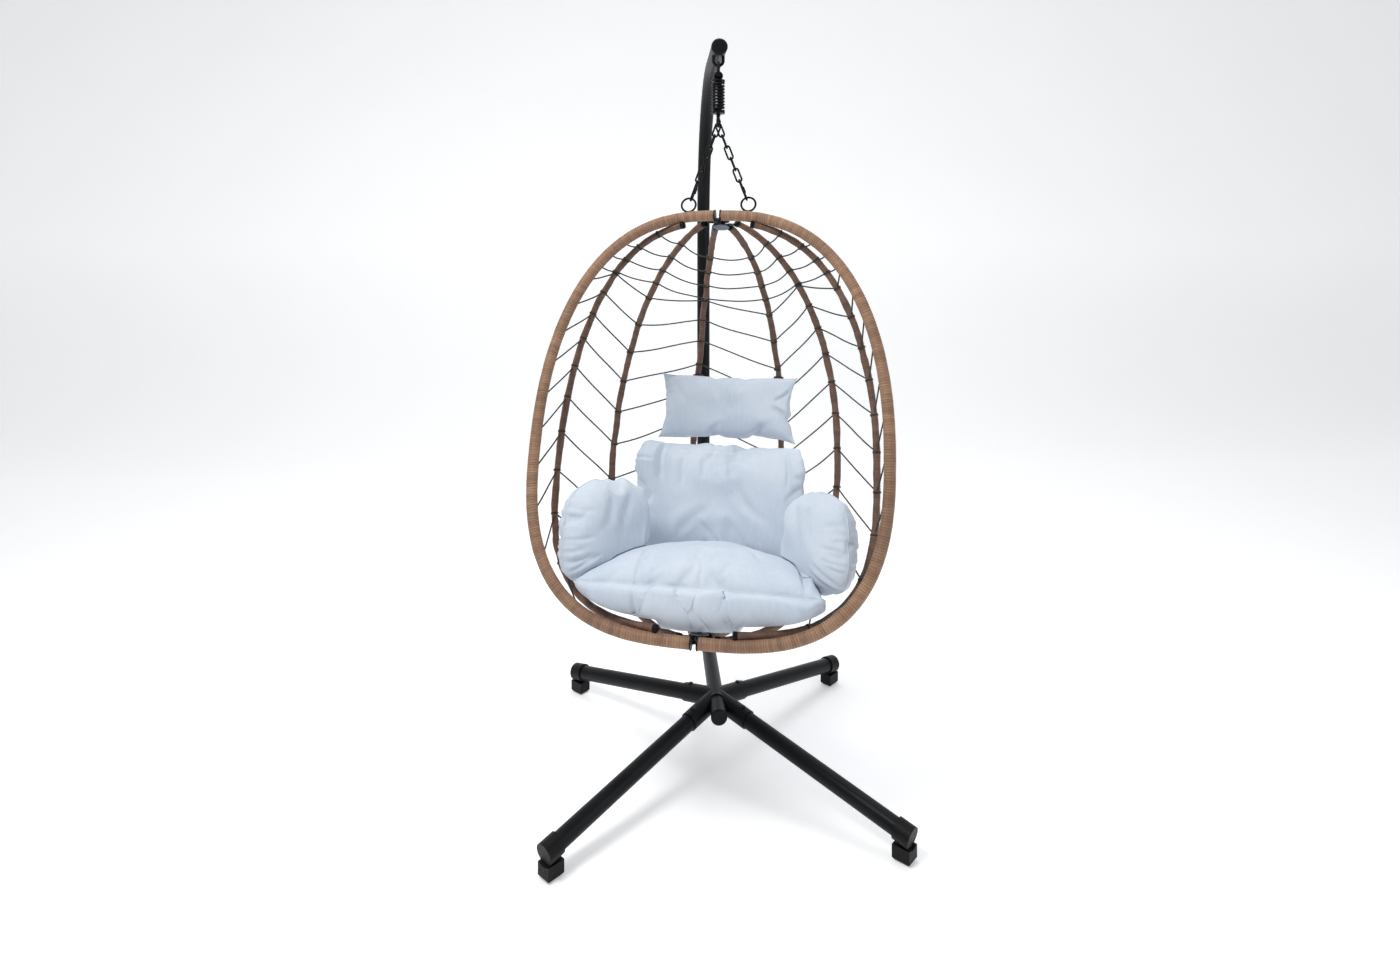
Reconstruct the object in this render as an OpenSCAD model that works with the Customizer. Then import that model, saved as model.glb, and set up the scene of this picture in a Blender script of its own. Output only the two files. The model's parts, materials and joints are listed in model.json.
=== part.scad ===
// Hanging egg chair: a tubular stand, a spring and two chains, and a basket of
// wrapped ribs that folds like a fan round one axis behind its mouth.
// Millimetres, +Z up, the mouth towards -Y, the floor at z = 0.

/* [Stand] */
// Outer diameter of the stand's tubes
tube_d = 42; // [36:1:48]
// Wall of the stand's tubes
tube_wall = 2; // [1.5:0.5:3]
// Height of the pole's tip above the floor, to the tube's centre
tip_z = 1924; // [1880:1:1980]
// How far the upright stands behind the hub
upright_y = 520; // [460:1:560]
// Radius of the bend at the foot of the pole
lower_bend_r = 300; // [240:1:320]
// Radius of the bend at the top of the pole
upper_bend_r = 430; // [380:1:460]
// How far the tip reaches in front of the hub
tip_reach = 108; // [96:1:130]
// Height of the hub's centre
hub_z = 176; // [160:1:200]
// Half the distance between two legs' ends, sideways
foot_x = 410; // [380:1:440]
// Half the distance between two legs' ends, front to back
foot_y = 400; // [370:1:430]
// Height of a leg's end
leg_end_z = 58; // [50:1:70]
// Height of the joint between the lower and middle pole
lower_joint_z = 700; // [600:1:760]
// Height of the joint between the middle and upper pole
upper_joint_z = 1240; // [1150:1:1300]
// Outer diameter of the hub's sockets
socket_d = 48.6; // [47:0.2:54]
// Length of a socket from the hub's centre
socket_len = 112; // [95:1:130]

/* [Hanger] */
// Where the chair hangs, in front of the hub
hang_reach = 75; // [65:1:85]
// Wire of the eye under the tip
eye_wire = 8; // [7:0.5:10]
// Radius of the eye to its wire's centre
eye_r = 13; // [12:0.5:16]
// Wire of the shackle and of the spring's hooks
hook_wire = 7; // [6:0.5:8]
// Outer diameter of the spring
spring_d = 35; // [32:0.5:40]
// Wire of the spring
spring_wire = 6.6; // [6:0.1:7]
// Turns of the spring
spring_turns = 9; // [8:1:12]
// Rise of one turn
spring_pitch = 8.2; // [7.8:0.1:9]
// Drop from the pole's tip to the rings that the chains hold, to their centres
ring_drop = 408; // [394:1:422]
// Half the distance between the two rings
ring_x = 80; // [70:1:90]
// Radius of a ring to its wire's centre
ring_r = 19; // [17:0.5:21]
// Wire of a ring
ring_wire = 5.5; // [5:0.5:6]
// Wire of the chain
chain_wire = 5; // [4.5:0.1:5.5]
// Outer width of a chain link
link_w = 19; // [18:0.5:21]
// Links in each strand
link_count = 5; // [4:1:6]
// Inner length of a quick link
quick_inner = 51; // [46:1:54]
// Outer width of a quick link
quick_w = 22; // [20:0.5:24]

/* [Basket] */
// Turn of the basket against the stand, seen from above
twist = -15; // [-30:1:30]
// Lean of the mouth, its foot forward
tilt = 17; // [12:0.5:20]
// Half the mouth's width, to the rim's centre
rim_half_w = 436; // [420:1:446]
// Drop from the rings to the rim's top
rim_top = 30.5; // [29:0.5:31.5]
// Drop from the rings to the rim's foot
rim_foot = 1062; // [1040:1:1080]
// Drop from the rings to the widest level
rim_mid = 618; // [590:1:640]
// Diameter of the wrapped rim
rim_d = 29; // [26:0.5:31]
// Gap between the two halves of the rim
rim_gap = 19; // [16:1:24]
// Diameter of the wrapped ribs
rib_d = 19; // [16:0.5:20]
// How far the fold axis lies behind the mouth
axis_y = 58; // [50:1:70]
// How far the outer ribs reach from the fold axis
outer_rib_reach = 402; // [390:1:410]
// How far the side ribs reach
side_rib_reach = 366; // [350:1:380]
// How far the back ribs reach
back_rib_reach = 480; // [460:1:495]
// Diameter of the grey discs
disc_d = 44; // [40:1:50]
// Diameter of the discs' pins
disc_pin_d = 8; // [7:0.5:9]
// Diameter of the strings
string_d = 4; // [3:0.5:4.5]

/* [Cushions] */
// Width of the seat cushion
seat_w = 540; // [500:5:550]
// Depth of the seat cushion
seat_depth = 370; // [340:5:380]
// Thickness of the seat cushion
seat_t = 150; // [120:5:160]
// Width of the back cushion
back_w = 490; // [440:5:500]
// Height of the back cushion
back_h = 310; // [270:5:320]
// Thickness of the back cushion
back_t = 120; // [100:5:130]
// Length of an arm cushion
arm_len = 260; // [230:5:265]
// Height of an arm cushion
arm_h = 245; // [220:5:250]
// Thickness of an arm cushion
arm_t = 110; // [90:5:120]
// Width of the head pillow
pillow_w = 405; // [360:5:420]
// Height of the head pillow
pillow_h = 185; // [160:5:190]
// Thickness of the head pillow
pillow_t = 95; // [80:5:105]

/* [Hidden] */

steel = [0.13, 0.14, 0.15];
wicker = [0.62, 0.46, 0.33];
dark_wicker = [0.42, 0.32, 0.26];
cord_grey = [0.27, 0.28, 0.27];
cloth = [0.83, 0.86, 0.92];

fit = 0.3;              // running clearance between pieces
pin_fit = 0.05;         // clearance all round a pin in its bore
hub_place = [27, -47, 0]; // the hub's place: the origin is under the middle of the whole chair
tube_r = tube_d / 2;
bore_r = tube_r - tube_wall;
$fn = 48;

// ---------- small helpers ----------

function unit(v) = v / norm(v);
function rot_x(v, a) = [v.x, v.y * cos(a) - v.z * sin(a), v.y * sin(a) + v.z * cos(a)];

// Turns +Z to direction d and +X towards side, at point p
module aim(p, d, side) {
    z = unit(d);
    y = unit(cross(z, side));
    x = cross(y, z);
    multmatrix([[x.x, y.x, z.x, p.x], [x.y, y.y, z.y, p.y], [x.z, y.z, z.z, p.z], [0, 0, 0, 1]])
        children();
}

// A straight rod between two points
module rod(a, b, r) {
    d = b - a;
    aim(a, d, abs(unit(d).z) > 0.9 ? [1, 0, 0] : [0, 0, 1]) cylinder(h = norm(d), r = r, $fn = 24);
}

// An arc of wire in the XZ plane, from angle a0 over the given sweep
module wire_arc(r, wire, a0 = 0, sweep = 360) {
    rotate([90, 0, 0]) rotate([0, 0, a0]) rotate_extrude(angle = sweep)
        translate([r, 0]) circle(d = wire, $fn = 24);
}

// A tube swept along points, with the normal of the curve's own plane
module swept(path, r, sides, normal) {
    n = len(path);
    rings = [for (i = [0 : n - 1])
        let (t = unit(path[min(i + 1, n - 1)] - path[max(i - 1, 0)]),
             u = unit(cross(t, normal)), w = cross(u, t))
        for (k = [0 : sides - 1]) path[i] + r * (cos(360 * k / sides) * u + sin(360 * k / sides) * w)];
    walls = [for (i = [0 : n - 2], k = [0 : sides - 1])
        let (a = i * sides + k, b = i * sides + (k + 1) % sides)
        each [[a, b, b + sides], [a, b + sides, a + sides]]];
    start = [for (k = [1 : sides - 2]) [0, k + 1, k]];
    last = (n - 1) * sides;
    end = [for (k = [1 : sides - 2]) [last, last + k, last + k + 1]];
    polyhedron(rings, concat(walls, start, end), convexity = 6);
}

// ---------- stand ----------

hub = [0, 0, hub_z];
tip_y = -tip_reach;
hang_y = -hang_reach;
pole_foot_y = -96;      // the pole's lower end shows in front of the hub
bend_start_y = upright_y - lower_bend_r;
upper_bend_z = tip_z - upper_bend_r;
weld_gap = 0.02;        // a welded-on piece ends this far from the tube's surface
cap_len = 7;
cap_plug_len = 20;
cap_chamfer = 3;
cap_lip = 0.5;
spigot_len = 60;        // how far a section enters the next one
spigot_root = 8;        // how far the spigot is pressed into its own section
spigot_wall = 1.5;
spigot_r = bore_r - fit / 2;

module pipe(h, r_out, r_in) {
    difference() {
        cylinder(h = h, r = r_out);
        translate([0, 0, -1]) cylinder(h = h + 2, r = r_in);
    }
}

// A bend of tube that turns from +Y to +Z, or from +Z to -Y
module bend(radius, r_out, r_in, a0, sweep) {
    rotate([90, 0, 90]) rotate([0, 0, a0]) rotate_extrude(angle = sweep)
        translate([radius, 0]) difference() {
            circle(r = r_out);
            circle(r = r_in);
        }
}

// The reduced foot of a pole section, which slides into the section below
module spigot(joint_z) {
    translate([0, upright_y, joint_z - spigot_len])
        pipe(spigot_len + spigot_root, spigot_r, spigot_r - spigot_wall);
}

module lower_pole() color(steel) {
    translate([0, pole_foot_y, hub_z]) rotate([-90, 0, 0])
        pipe(bend_start_y - pole_foot_y, tube_r, bore_r);
    translate([0, bend_start_y, hub_z + lower_bend_r])
        bend(lower_bend_r, tube_r, bore_r, -90, 90);
    translate([0, upright_y, hub_z + lower_bend_r])
        pipe(lower_joint_z - hub_z - lower_bend_r, tube_r, bore_r);
}

module middle_pole() color(steel) {
    translate([0, upright_y, lower_joint_z]) pipe(upper_joint_z - lower_joint_z, tube_r, bore_r);
    spigot(lower_joint_z);
}

module upper_pole() color(steel) {
    translate([0, upright_y, upper_joint_z]) pipe(upper_bend_z - upper_joint_z, tube_r, bore_r);
    spigot(upper_joint_z);
    translate([0, upright_y - upper_bend_r, upper_bend_z])
        bend(upper_bend_r, tube_r, bore_r, 0, 90);
    translate([0, upright_y - upper_bend_r, tip_z]) rotate([90, 0, 0])
        pipe(upright_y - upper_bend_r - tip_y, tube_r, bore_r);
}

// A domed plastic cap with a plug inside the tube, looking along -Y
module end_cap() {
    rotate([90, 0, 0]) {
        translate([0, 0, -cap_plug_len]) cylinder(h = cap_plug_len, r = bore_r - fit);
        cylinder(h = cap_len - cap_chamfer, r = tube_r + cap_lip);
        translate([0, 0, cap_len - cap_chamfer])
            cylinder(h = cap_chamfer, r1 = tube_r + cap_lip, r2 = tube_r - cap_chamfer);
    }
}

module pole_top_cap() color(steel) translate([0, tip_y, tip_z]) end_cap();
module pole_bottom_cap() color(steel) translate([0, pole_foot_y, hub_z]) end_cap();

// Where a leg runs: from the hub's centre to its own end
function leg_end(sx, sy) = hub + [sx * foot_x, sy * foot_y, leg_end_z - hub_z];
leg_len = norm(leg_end(1, 1) - hub);
leg_inner = 62;         // a leg starts this far from the hub's centre, inside its socket
socket_bore_r = tube_r + fit / 2;
hub_sleeve_len = 56;    // the sleeve that the pole passes through

module toward_leg(sx, sy) aim(hub, leg_end(sx, sy) - hub, [0, 0, 1]) children();

module hub_sockets() color(steel) difference() {
    union() {
        for (sx = [-1, 1], sy = [-1, 1]) toward_leg(sx, sy) cylinder(h = socket_len, d = socket_d);
        translate(hub + [0, -hub_sleeve_len / 2, 0]) rotate([-90, 0, 0])
            cylinder(h = hub_sleeve_len, d = socket_d);
    }
    for (sx = [-1, 1], sy = [-1, 1]) toward_leg(sx, sy)
        translate([0, 0, leg_inner - 1]) cylinder(h = socket_len, r = socket_bore_r);
    translate(hub + [0, -socket_len, 0]) rotate([-90, 0, 0])
        cylinder(h = 2 * socket_len, r = socket_bore_r);
}

module leg(sx, sy) color(steel) toward_leg(sx, sy)
    translate([0, 0, leg_inner]) pipe(leg_len - leg_inner, tube_r, bore_r);

foot_cap_d = 50;
foot_cap_over = 34;     // how far the cap reaches back over the leg
foot_cap_end = 6;       // thickness of its closed end
pad_w = 44;
pad_depth = 38;
pad_drop = 30;
pad_chamfer = 6;
pad_back = 14;          // how far the pad's middle lies behind the leg's end

// A collar cap on the leg's end, with a chamfered pad that stands on the floor
module foot(sx, sy) color(steel) {
    end = leg_end(sx, sy);
    turn = atan2(sy * foot_y, sx * foot_x);
    difference() {
        toward_leg(sx, sy) translate([0, 0, leg_len - foot_cap_over])
            cylinder(h = foot_cap_over + foot_cap_end, d = foot_cap_d);
        toward_leg(sx, sy) translate([0, 0, leg_len - 2 * foot_cap_over])
            cylinder(h = 2 * foot_cap_over + fit, r = socket_bore_r);
    }
    difference() {
        translate([end.x, end.y, 0]) rotate([0, 0, turn]) translate([-pad_back, 0, 0]) {
            translate([0, 0, pad_chamfer]) linear_extrude(pad_drop)
                square([pad_w, pad_depth], center = true);
            hull() {
                linear_extrude(0.01) square([pad_w - 10, pad_depth - 10], center = true);
                translate([0, 0, pad_chamfer]) linear_extrude(0.01) square([pad_w, pad_depth], center = true);
            }
        }
        toward_leg(sx, sy) translate([0, 0, leg_len - foot_cap_d - foot_cap_over])
            cylinder(h = 2 * (foot_cap_d + foot_cap_end), d = foot_cap_d - 1);
    }
}

// Button-head bolts that hold each leg in its socket
bolt_head_d = 14;
bolt_rim_h = 2;
bolt_dome_h = 2;
bolt_in = 22;           // from the socket's mouth to its bolt
pole_bolt_in = 30;      // from a pole joint down to its bolt
module button_bolt(r) {
    translate([0, 0, r]) cylinder(h = bolt_rim_h, d = bolt_head_d, $fn = 32);
    translate([0, 0, r + bolt_rim_h])
        cylinder(h = bolt_dome_h, d1 = bolt_head_d, d2 = bolt_head_d - 3 * bolt_dome_h, $fn = 32);
}
module leg_bolts() color([0.35, 0.35, 0.36])
    for (sx = [-1, 1], sy = [-1, 1]) toward_leg(sx, sy)
        translate([0, 0, socket_len - bolt_in]) rotate([0, 90, 0]) button_bolt(socket_d / 2);

module pole_bolts() color([0.35, 0.35, 0.36])
    for (z = [lower_joint_z, upper_joint_z]) translate([0, upright_y, z - pole_bolt_in])
        rotate([-90, 0, 0]) button_bolt(tube_r);

// ---------- hanger ----------

eye_stem = 7;                                  // straight wire between the tube and the eye's bow
eye_z = tip_z - tube_r - eye_stem;             // centre of the eye's bow
eye_foot_z = eye_z - eye_r;                    // its lowest wire, where the shackle swings
bow_r = 11.5;                                  // shackle's bow, to the wire's centre
bow_z = eye_foot_z + eye_wire / 2 + hook_wire / 2 + fit - bow_r;
shackle_depth = 22;                            // from the bow's centre to the pin
shackle_pin_z = bow_z - shackle_depth;
pin_r = 4;
ear_r = 7;                                     // the shackle's ears
pin_over = 5;                                  // how far the pin shows past the bow's wire
hook_r = 9;                                    // the spring's top hook, to the wire's centre
top_hook_z = shackle_pin_z + pin_r + hook_wire / 2 + fit - hook_r;
flange_t = 4;
hook_weld = 1;                                 // how deep the hook's wire sits in the plug
spring_top_z = top_hook_z - hook_r - hook_wire / 2 - flange_t + hook_weld;
coil_r = (spring_d - spring_wire) / 2;
spring_len = spring_turns * spring_pitch;
spring_foot_z = spring_top_z - spring_len - spring_wire;
helix_steps = 8;                               // corners in one turn of the coil
plug_r = (coil_r - spring_wire / 2) * cos(180 / helix_steps) - fit;
plug_len = 12;                                 // how far a plug reaches into the coil
swivel_r = 3;                                  // the stem that turns in the lower plug
stem_head_r = 6.5;
stem_head_h = 3;
stem_nut_r = 5.5;                              // the boss under the lower plug
stem_nut_h = 8;
hang_ring_r = 12;
hang_wire = 7;
hang_ring_z = spring_foot_z - flange_t - stem_nut_h + 2 - hang_wire / 2 - hang_ring_r;
ring_z = tip_z - ring_drop;                    // the two rings on the rim, to their centres

module at_hang(z) translate([0, hang_y, z]) children();

module hanger_eye() color(steel) at_hang(eye_z) {
    wire_arc(eye_r, eye_wire, 180, 180);
    difference() {
        for (s = [-1, 1]) translate([s * eye_r, 0, 0]) cylinder(h = tube_r, d = eye_wire);
        translate([0, tube_r, tip_z - eye_z]) rotate([90, 0, 0]) cylinder(h = tube_d, r = tube_r + weld_gap);
    }
}

module top_shackle() color(steel) {
    at_hang(bow_z) rotate([0, 0, 90]) wire_arc(bow_r, hook_wire, 0, 180);
    for (s = [-1, 1]) translate([0, hang_y + s * bow_r, 0]) {
        translate([0, 0, shackle_pin_z]) cylinder(h = bow_z - shackle_pin_z, d = hook_wire);
        translate([0, -hook_wire / 2, shackle_pin_z]) rotate([-90, 0, 0])
            cylinder(h = hook_wire, r = ear_r);
    }
    at_hang(shackle_pin_z) rotate([90, 0, 0]) translate([0, 0, -bow_r - pin_over])
        cylinder(h = 2 * (bow_r + pin_over) + 2, r = pin_r);
    at_hang(shackle_pin_z) translate([0, -bow_r - pin_over, 0]) rotate([90, 0, 0])
        cylinder(h = pin_r, r = 1.5 * pin_r, $fn = 6);
}

module spring_top_plug() color(steel) {
    at_hang(top_hook_z) wire_arc(hook_r, hook_wire);
    at_hang(spring_top_z) cylinder(h = flange_t, d = spring_d);
    at_hang(spring_top_z - plug_len) cylinder(h = plug_len + 1, r = plug_r);
}

// A true helix, its two ends cut square to the wire
helix_n = spring_turns * helix_steps;
function helix(i) = [coil_r * cos(360 * i / helix_steps), coil_r * sin(360 * i / helix_steps),
                     spring_pitch * i / helix_steps];
helix_path = [for (i = [0 : helix_n]) helix(i)];
spring_gap = min([for (i = [0 : helix_n - helix_steps]) norm(helix(i + helix_steps) - helix(i))])
             * cos(atan2(spring_pitch, 2 * PI * coil_r)) - spring_wire;

module spring() color(steel) {
    assert(spring_gap > 0.4, "the turns of the spring touch");
    echo(least_gap_between_turns_mm = spring_gap);
    at_hang(spring_foot_z + spring_wire / 2) {
        n = len(helix_path);
        sides = 6;
        points = [for (i = [0 : n - 1])
            let (a = 360 * i / helix_steps, rise = atan2(spring_pitch, 2 * PI * coil_r),
                 out = [cos(a), sin(a), 0], up = [sin(a) * sin(rise), -cos(a) * sin(rise), cos(rise)])
            for (k = [0 : sides - 1])
                helix_path[i] + spring_wire / 2 * (cos(60 * k) * out + sin(60 * k) * up)];
        walls = [for (i = [0 : n - 2], k = [0 : sides - 1])
            let (a = i * sides + k, b = i * sides + (k + 1) % sides)
            each [[a, b + sides, b], [a, a + sides, b + sides]]];
        last = (n - 1) * sides;
        ends = [for (k = [1 : sides - 2]) each [[0, k, k + 1], [last, last + k + 1, last + k]]];
        polyhedron(points, concat(walls, ends), convexity = 10);
    }
}

module spring_foot_plug() color(steel) at_hang(spring_foot_z) difference() {
    union() {
        translate([0, 0, -flange_t]) cylinder(h = flange_t, d = spring_d);
        cylinder(h = plug_len, r = plug_r);
    }
    translate([0, 0, -flange_t - 1]) cylinder(h = flange_t + plug_len + 2, r = swivel_r + pin_fit);
}

// The snap hook hangs from the plug by a headed stem, on which it turns
module swivel_hook() color(steel) {
    at_hang(hang_ring_z) rotate([0, 0, twist]) {
        rotate([0, 0, 90]) wire_arc(hang_ring_r, hang_wire);
        rotate([0, 0, 90]) translate([hang_ring_r, 0, -5]) cylinder(h = 10, d = hang_wire + 2.5);
    }
    at_hang(spring_foot_z - flange_t - stem_nut_h) cylinder(h = stem_nut_h - fit, r = stem_nut_r);
    at_hang(spring_foot_z - flange_t - 1) cylinder(h = flange_t + plug_len + 1 + fit, r = swivel_r);
    at_hang(spring_foot_z + plug_len + fit) cylinder(h = stem_head_h, r = stem_head_r);
}

// ---------- chains ----------

// Points are in the basket's turned frame. A junction is where one wire rests on the next.
strand_y = 3.2;                                         // half the distance between the two top links
hook_seat = hang_wire / 2 + 1.2;                        // from the hook's wire to a top link's inner end
pull_angle = 20;                                        // where a quick link sits on its ring, from the top
link_play = fit;                                        // slack at each joint of two links

// Frame that turns with the basket about the line it hangs on
module turned() translate([0, hang_y, 0]) rotate([0, 0, twist]) children();

function hook_wire_at(s) =
    [0, s * strand_y, hang_ring_z - sqrt(hang_ring_r * hang_ring_r - strand_y * strand_y)];
function strand_from(s) = hook_wire_at(s) - hook_seat * unit(strand_to(s) - hook_wire_at(s));
function strand_to(s) = [s * ring_x, 0, ring_z] + (ring_r - ring_wire / 2)
    * rot_x([-s * sin(pull_angle), 0, cos(pull_angle)], -tilt);
function strand_dir(s) = unit(strand_to(s) - strand_from(s));
strand_len = norm(strand_to(1) - strand_from(1));
link_pitch = (strand_len - quick_inner) / link_count;

// A stadium of wire along Z: inner length, outer width, wire
module link(inner, width, wire) {
    r = (width - wire) / 2;
    straight = inner + wire - 2 * r;
    for (s = [-1, 1]) {
        translate([0, 0, s * straight / 2]) wire_arc(r, wire, s > 0 ? 0 : 180, 180);
        translate([s * r, 0, -straight / 2]) cylinder(h = straight, d = wire);
    }
}

// Place of link k along a strand, counted from the top hook
module on_strand(s, along_mm, quarter) {
    d = strand_dir(s);
    side = quarter % 2 == 0 ? [1, 0, 0] : [0, 1, 0];
    aim(strand_from(s) + along_mm * d, d, side) children();
}

module chain(s) color(steel) turned()
    for (k = [0 : link_count - 1]) on_strand(s, (k + 0.5) * link_pitch, k)
        link(link_pitch + link_play, link_w, chain_wire);

quick_mid = link_count * link_pitch + quick_inner / 2;
module quick_link(s) color(steel) turned() on_strand(s, quick_mid, link_count)
    link(quick_inner + 3 * link_play, quick_w, chain_wire);

sleeve_len = 17;
sleeve_wall = 2.5;
module quick_sleeve(s) color(steel) turned() on_strand(s, quick_mid, link_count) difference() {
    r = (quick_w - chain_wire) / 2;
    translate([r, 0, -sleeve_len / 2]) cylinder(h = sleeve_len, d = chain_wire + 2 * sleeve_wall, $fn = 6);
    translate([r, 0, -sleeve_len]) cylinder(h = 2 * sleeve_len, r = chain_wire / 2 + pin_fit);
}

// ---------- basket ----------

// The basket's own frame: origin midway between the rings, the mouth in its XZ plane
module basket() turned() translate([0, 0, ring_z]) rotate([-tilt, 0, 0]) children();

module rim_ring(s) color(steel) basket() translate([s * ring_x, 0, 0]) wire_arc(ring_r, ring_wire);

// Half of an egg outline: reach at a level, for a curve given as
// [reach, widest level, top, foot, upper powers, lower powers]
function egg_power(c, up) = up ? c[4] : c[5];
function egg_point(c, t) = let (up = t > 0, p = egg_power(c, up), h = up ? c[2] - c[1] : c[1] - c[3])
    [c[0] * pow(abs(cos(t)), 2 / p[0]), c[1] + sign(t) * h * pow(abs(sin(t)), 2 / p[1])];
function egg_reach(c, level) = let (up = level > c[1], p = egg_power(c, up),
    h = up ? c[2] - c[1] : c[1] - c[3], u = min(1, abs(level - c[1]) / h))
    c[0] * pow(max(0, 1 - pow(u, p[1])), 1 / p[0]);

rim_r = rim_d / 2;
rib_r = rib_d / 2;
rim_egg = [rim_half_w, -rim_mid, -rim_top, -rim_foot, [2.6, 2.15], [3, 2.75]];
outer_top = rim_top + rim_r + rib_r - 1;
outer_foot = rim_foot - rim_r - rib_r + 1;
disc_top = rim_top + 3;
disc_foot = rim_foot - 3;

outer_rib_mid = 660;    // drops from the rings to the level where each rib reaches furthest
side_rib_mid = 650;
back_rib_mid = 690;
outer_rib_off = 84;     // how far each rib's plane passes beside the fold axis
side_rib_off = 37;
back_rib_off = 13;
outer_rib_start = 66;   // where the outer ribs start on the rim
rib_start = 24;         // where the others start, outside the discs
// Each rib: [egg outline, angle from straight back, offset of its plane, where it starts]
outer_rib = [[outer_rib_reach, -outer_rib_mid, -outer_top, -outer_foot, [2.6, 2.1], [3.4, 3.0]],
             72, outer_rib_off, outer_rib_start];
side_rib = [[side_rib_reach, -side_rib_mid, -disc_top, -disc_foot, [1.75, 2.3], [2.6, 2.6]],
            51, side_rib_off, rib_start];
back_rib = [[back_rib_reach, -back_rib_mid, -disc_top, -disc_foot, [2.2, 2.0], [2.6, 2.6]],
            15, back_rib_off, rib_start];
RIBS = [outer_rib, side_rib, back_rib, back_rib, side_rib, outer_rib];
function rib_side(i) = i < 3 ? -1 : 1;

// A point of rib i in the basket's frame, from its reach and level
function rib_at(i, reach, level) = let (a = RIBS[i][1], d = RIBS[i][2])
    [rib_side(i) * (d * cos(a) + reach * sin(a)), axis_y - d * sin(a) + reach * cos(a), level];
function rib_level(i, level) = rib_at(i, egg_reach(RIBS[i][0], level), level);
function rim_level(s, level) = [s * egg_reach(rim_egg, level), 0, level];
// Strings run between uprights 0 to 7: the left rim, the six ribs and the right rim
function upright(u, level) = u == 0 ? rim_level(-1, level) : u == 7 ? rim_level(1, level)
                           : rib_level(u - 1, level);
function upright_r(u) = u == 0 || u == 7 ? rim_r : rib_r;

curve_steps = 26;
// Angles that start where the reach is big enough to clear the middle
function egg_angles(c, start) = let (
    a_top = acos(pow(start / c[0], c[4][0] / 2)), a_foot = acos(pow(start / c[0], c[5][0] / 2)))
    [for (k = [0 : curve_steps]) a_top - (a_top + a_foot) * k / curve_steps];

module rim_half(s) color(wicker) basket() {
    path = [for (t = egg_angles(rim_egg, rim_gap / 2)) let (p = egg_point(rim_egg, t)) [s * p[0], 0, p[1]]];
    swept(path, rim_r, 10, [0, s, 0]);
}

module rib(i) color(dark_wicker) basket() {
    r = RIBS[i];
    s = rib_side(i);
    path = [for (t = egg_angles(r[0], r[3])) let (p = egg_point(r[0], t)) rib_at(i, p[0], p[1])];
    swept(path, rib_r, 8, [cos(r[1]), s * -sin(r[1]), 0]);
}

// ---------- fold hinges ----------

tab_t = 2.2;
tab_step = 2.6;
tab_eye_r = 10;
tab_w = 13;
disc_pin_r = disc_pin_d / 2;
// Level of each tab in the stack, from the middle, for ribs 2 to 5 and the two rim arms
function tab_rise(i) = (i == 1 ? 1.5 : i == 2 ? 0.5 : i == 3 ? -0.5 : -1.5) * tab_step;
arm_rise = 2.5 * tab_step;
arm_out = 8;            // the middle of an arm's bar, from the chair's middle
end_cap_t = 2.5;        // black end on each rim tube
end_cap_rim = 1.2;
disc_t = 2.5;

// The two flat tabs of a rib, at its head and foot
module rib_tabs(i) color(steel) basket() {
    off = RIBS[i][2];
    far = RIBS[i][3] + 9;
    turn = RIBS[i][1] + atan2(off, far);
    for (level = [-disc_top, -disc_foot])
        translate([0, axis_y, level + tab_rise(i) - tab_t / 2]) rotate([0, 0, -rib_side(i) * turn])
            difference() {
                union() {
                    cylinder(h = tab_t, r = tab_eye_r);
                    translate([-tab_w / 2, 0, 0]) cube([tab_w, norm([off, far]), tab_t]);
                }
                translate([0, 0, -1]) cylinder(h = tab_t + 2, r = disc_pin_r + pin_fit);
            }
}

// The arms of a rim half: a black end on the tube and a flat bar back to the disc
module rim_arms(s) color(steel) basket() for (top = [true, false]) {
    level = top ? -rim_top : -rim_foot;
    hinge = (top ? -disc_top : -disc_foot) + s * arm_rise;
    translate([s * (rim_gap / 2 - end_cap_t - 0.9), 0, level]) rotate([0, s * 90, 0])
        cylinder(h = end_cap_t, r = rim_r + end_cap_rim);
    difference() {
        union() {
            translate([0, axis_y, hinge - tab_t / 2]) cylinder(h = tab_t, r = tab_eye_r);
            translate([s * arm_out - tab_w / 2, rim_r - 3, hinge - tab_t / 2])
                cube([tab_w, axis_y - rim_r + 3, tab_t]);
        }
        translate([0, axis_y, hinge - tab_t]) cylinder(h = 2 * tab_t, r = disc_pin_r + pin_fit);
        translate([-rim_d, 0, level]) rotate([0, 90, 0]) cylinder(h = 2 * rim_d, r = rim_r + 0.4);
    }
}

stack_half = 3 * tab_step + 0.4;
module disc(level) color([0.35, 0.37, 0.4]) basket() translate([0, axis_y, level]) {
    for (m = [0, 1]) mirror([0, 0, m]) translate([0, 0, stack_half]) cylinder(h = disc_t, d = disc_d);
    translate([0, 0, -stack_half - 1]) cylinder(h = 2 * stack_half + 2, r = disc_pin_r);
    translate([0, 0, stack_half + disc_t - 0.5]) cylinder(h = 3.5, r = 1.6 * disc_pin_r, $fn = 6);
}

// ---------- strings ----------

level_rows = [-74, -104, -136, -168];          // near-level rows under the top disc
chevron_rows = 10;
peak_drop = 172;        // from the rings to the first peaks, the step to the next, and how a step grows
peak_step = 46;
peak_growth = 4.1;
valley_drop = 208;      // the same for the valleys
valley_step = 70;
valley_growth = 2.2;
// Levels of a chevron's two ends: high on ribs 1, 3, 5 and the right rim, low on the others
function high_row(k) = -peak_drop - peak_step * k - peak_growth * k * k;
function low_row(k) = -valley_drop - valley_step * k - valley_growth * k * k;
function chevron_level(u, k) = u % 2 == 1 ? high_row(k) : low_row(k);

string_gap = 0.5;       // between a string's end and the upright's surface
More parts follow.
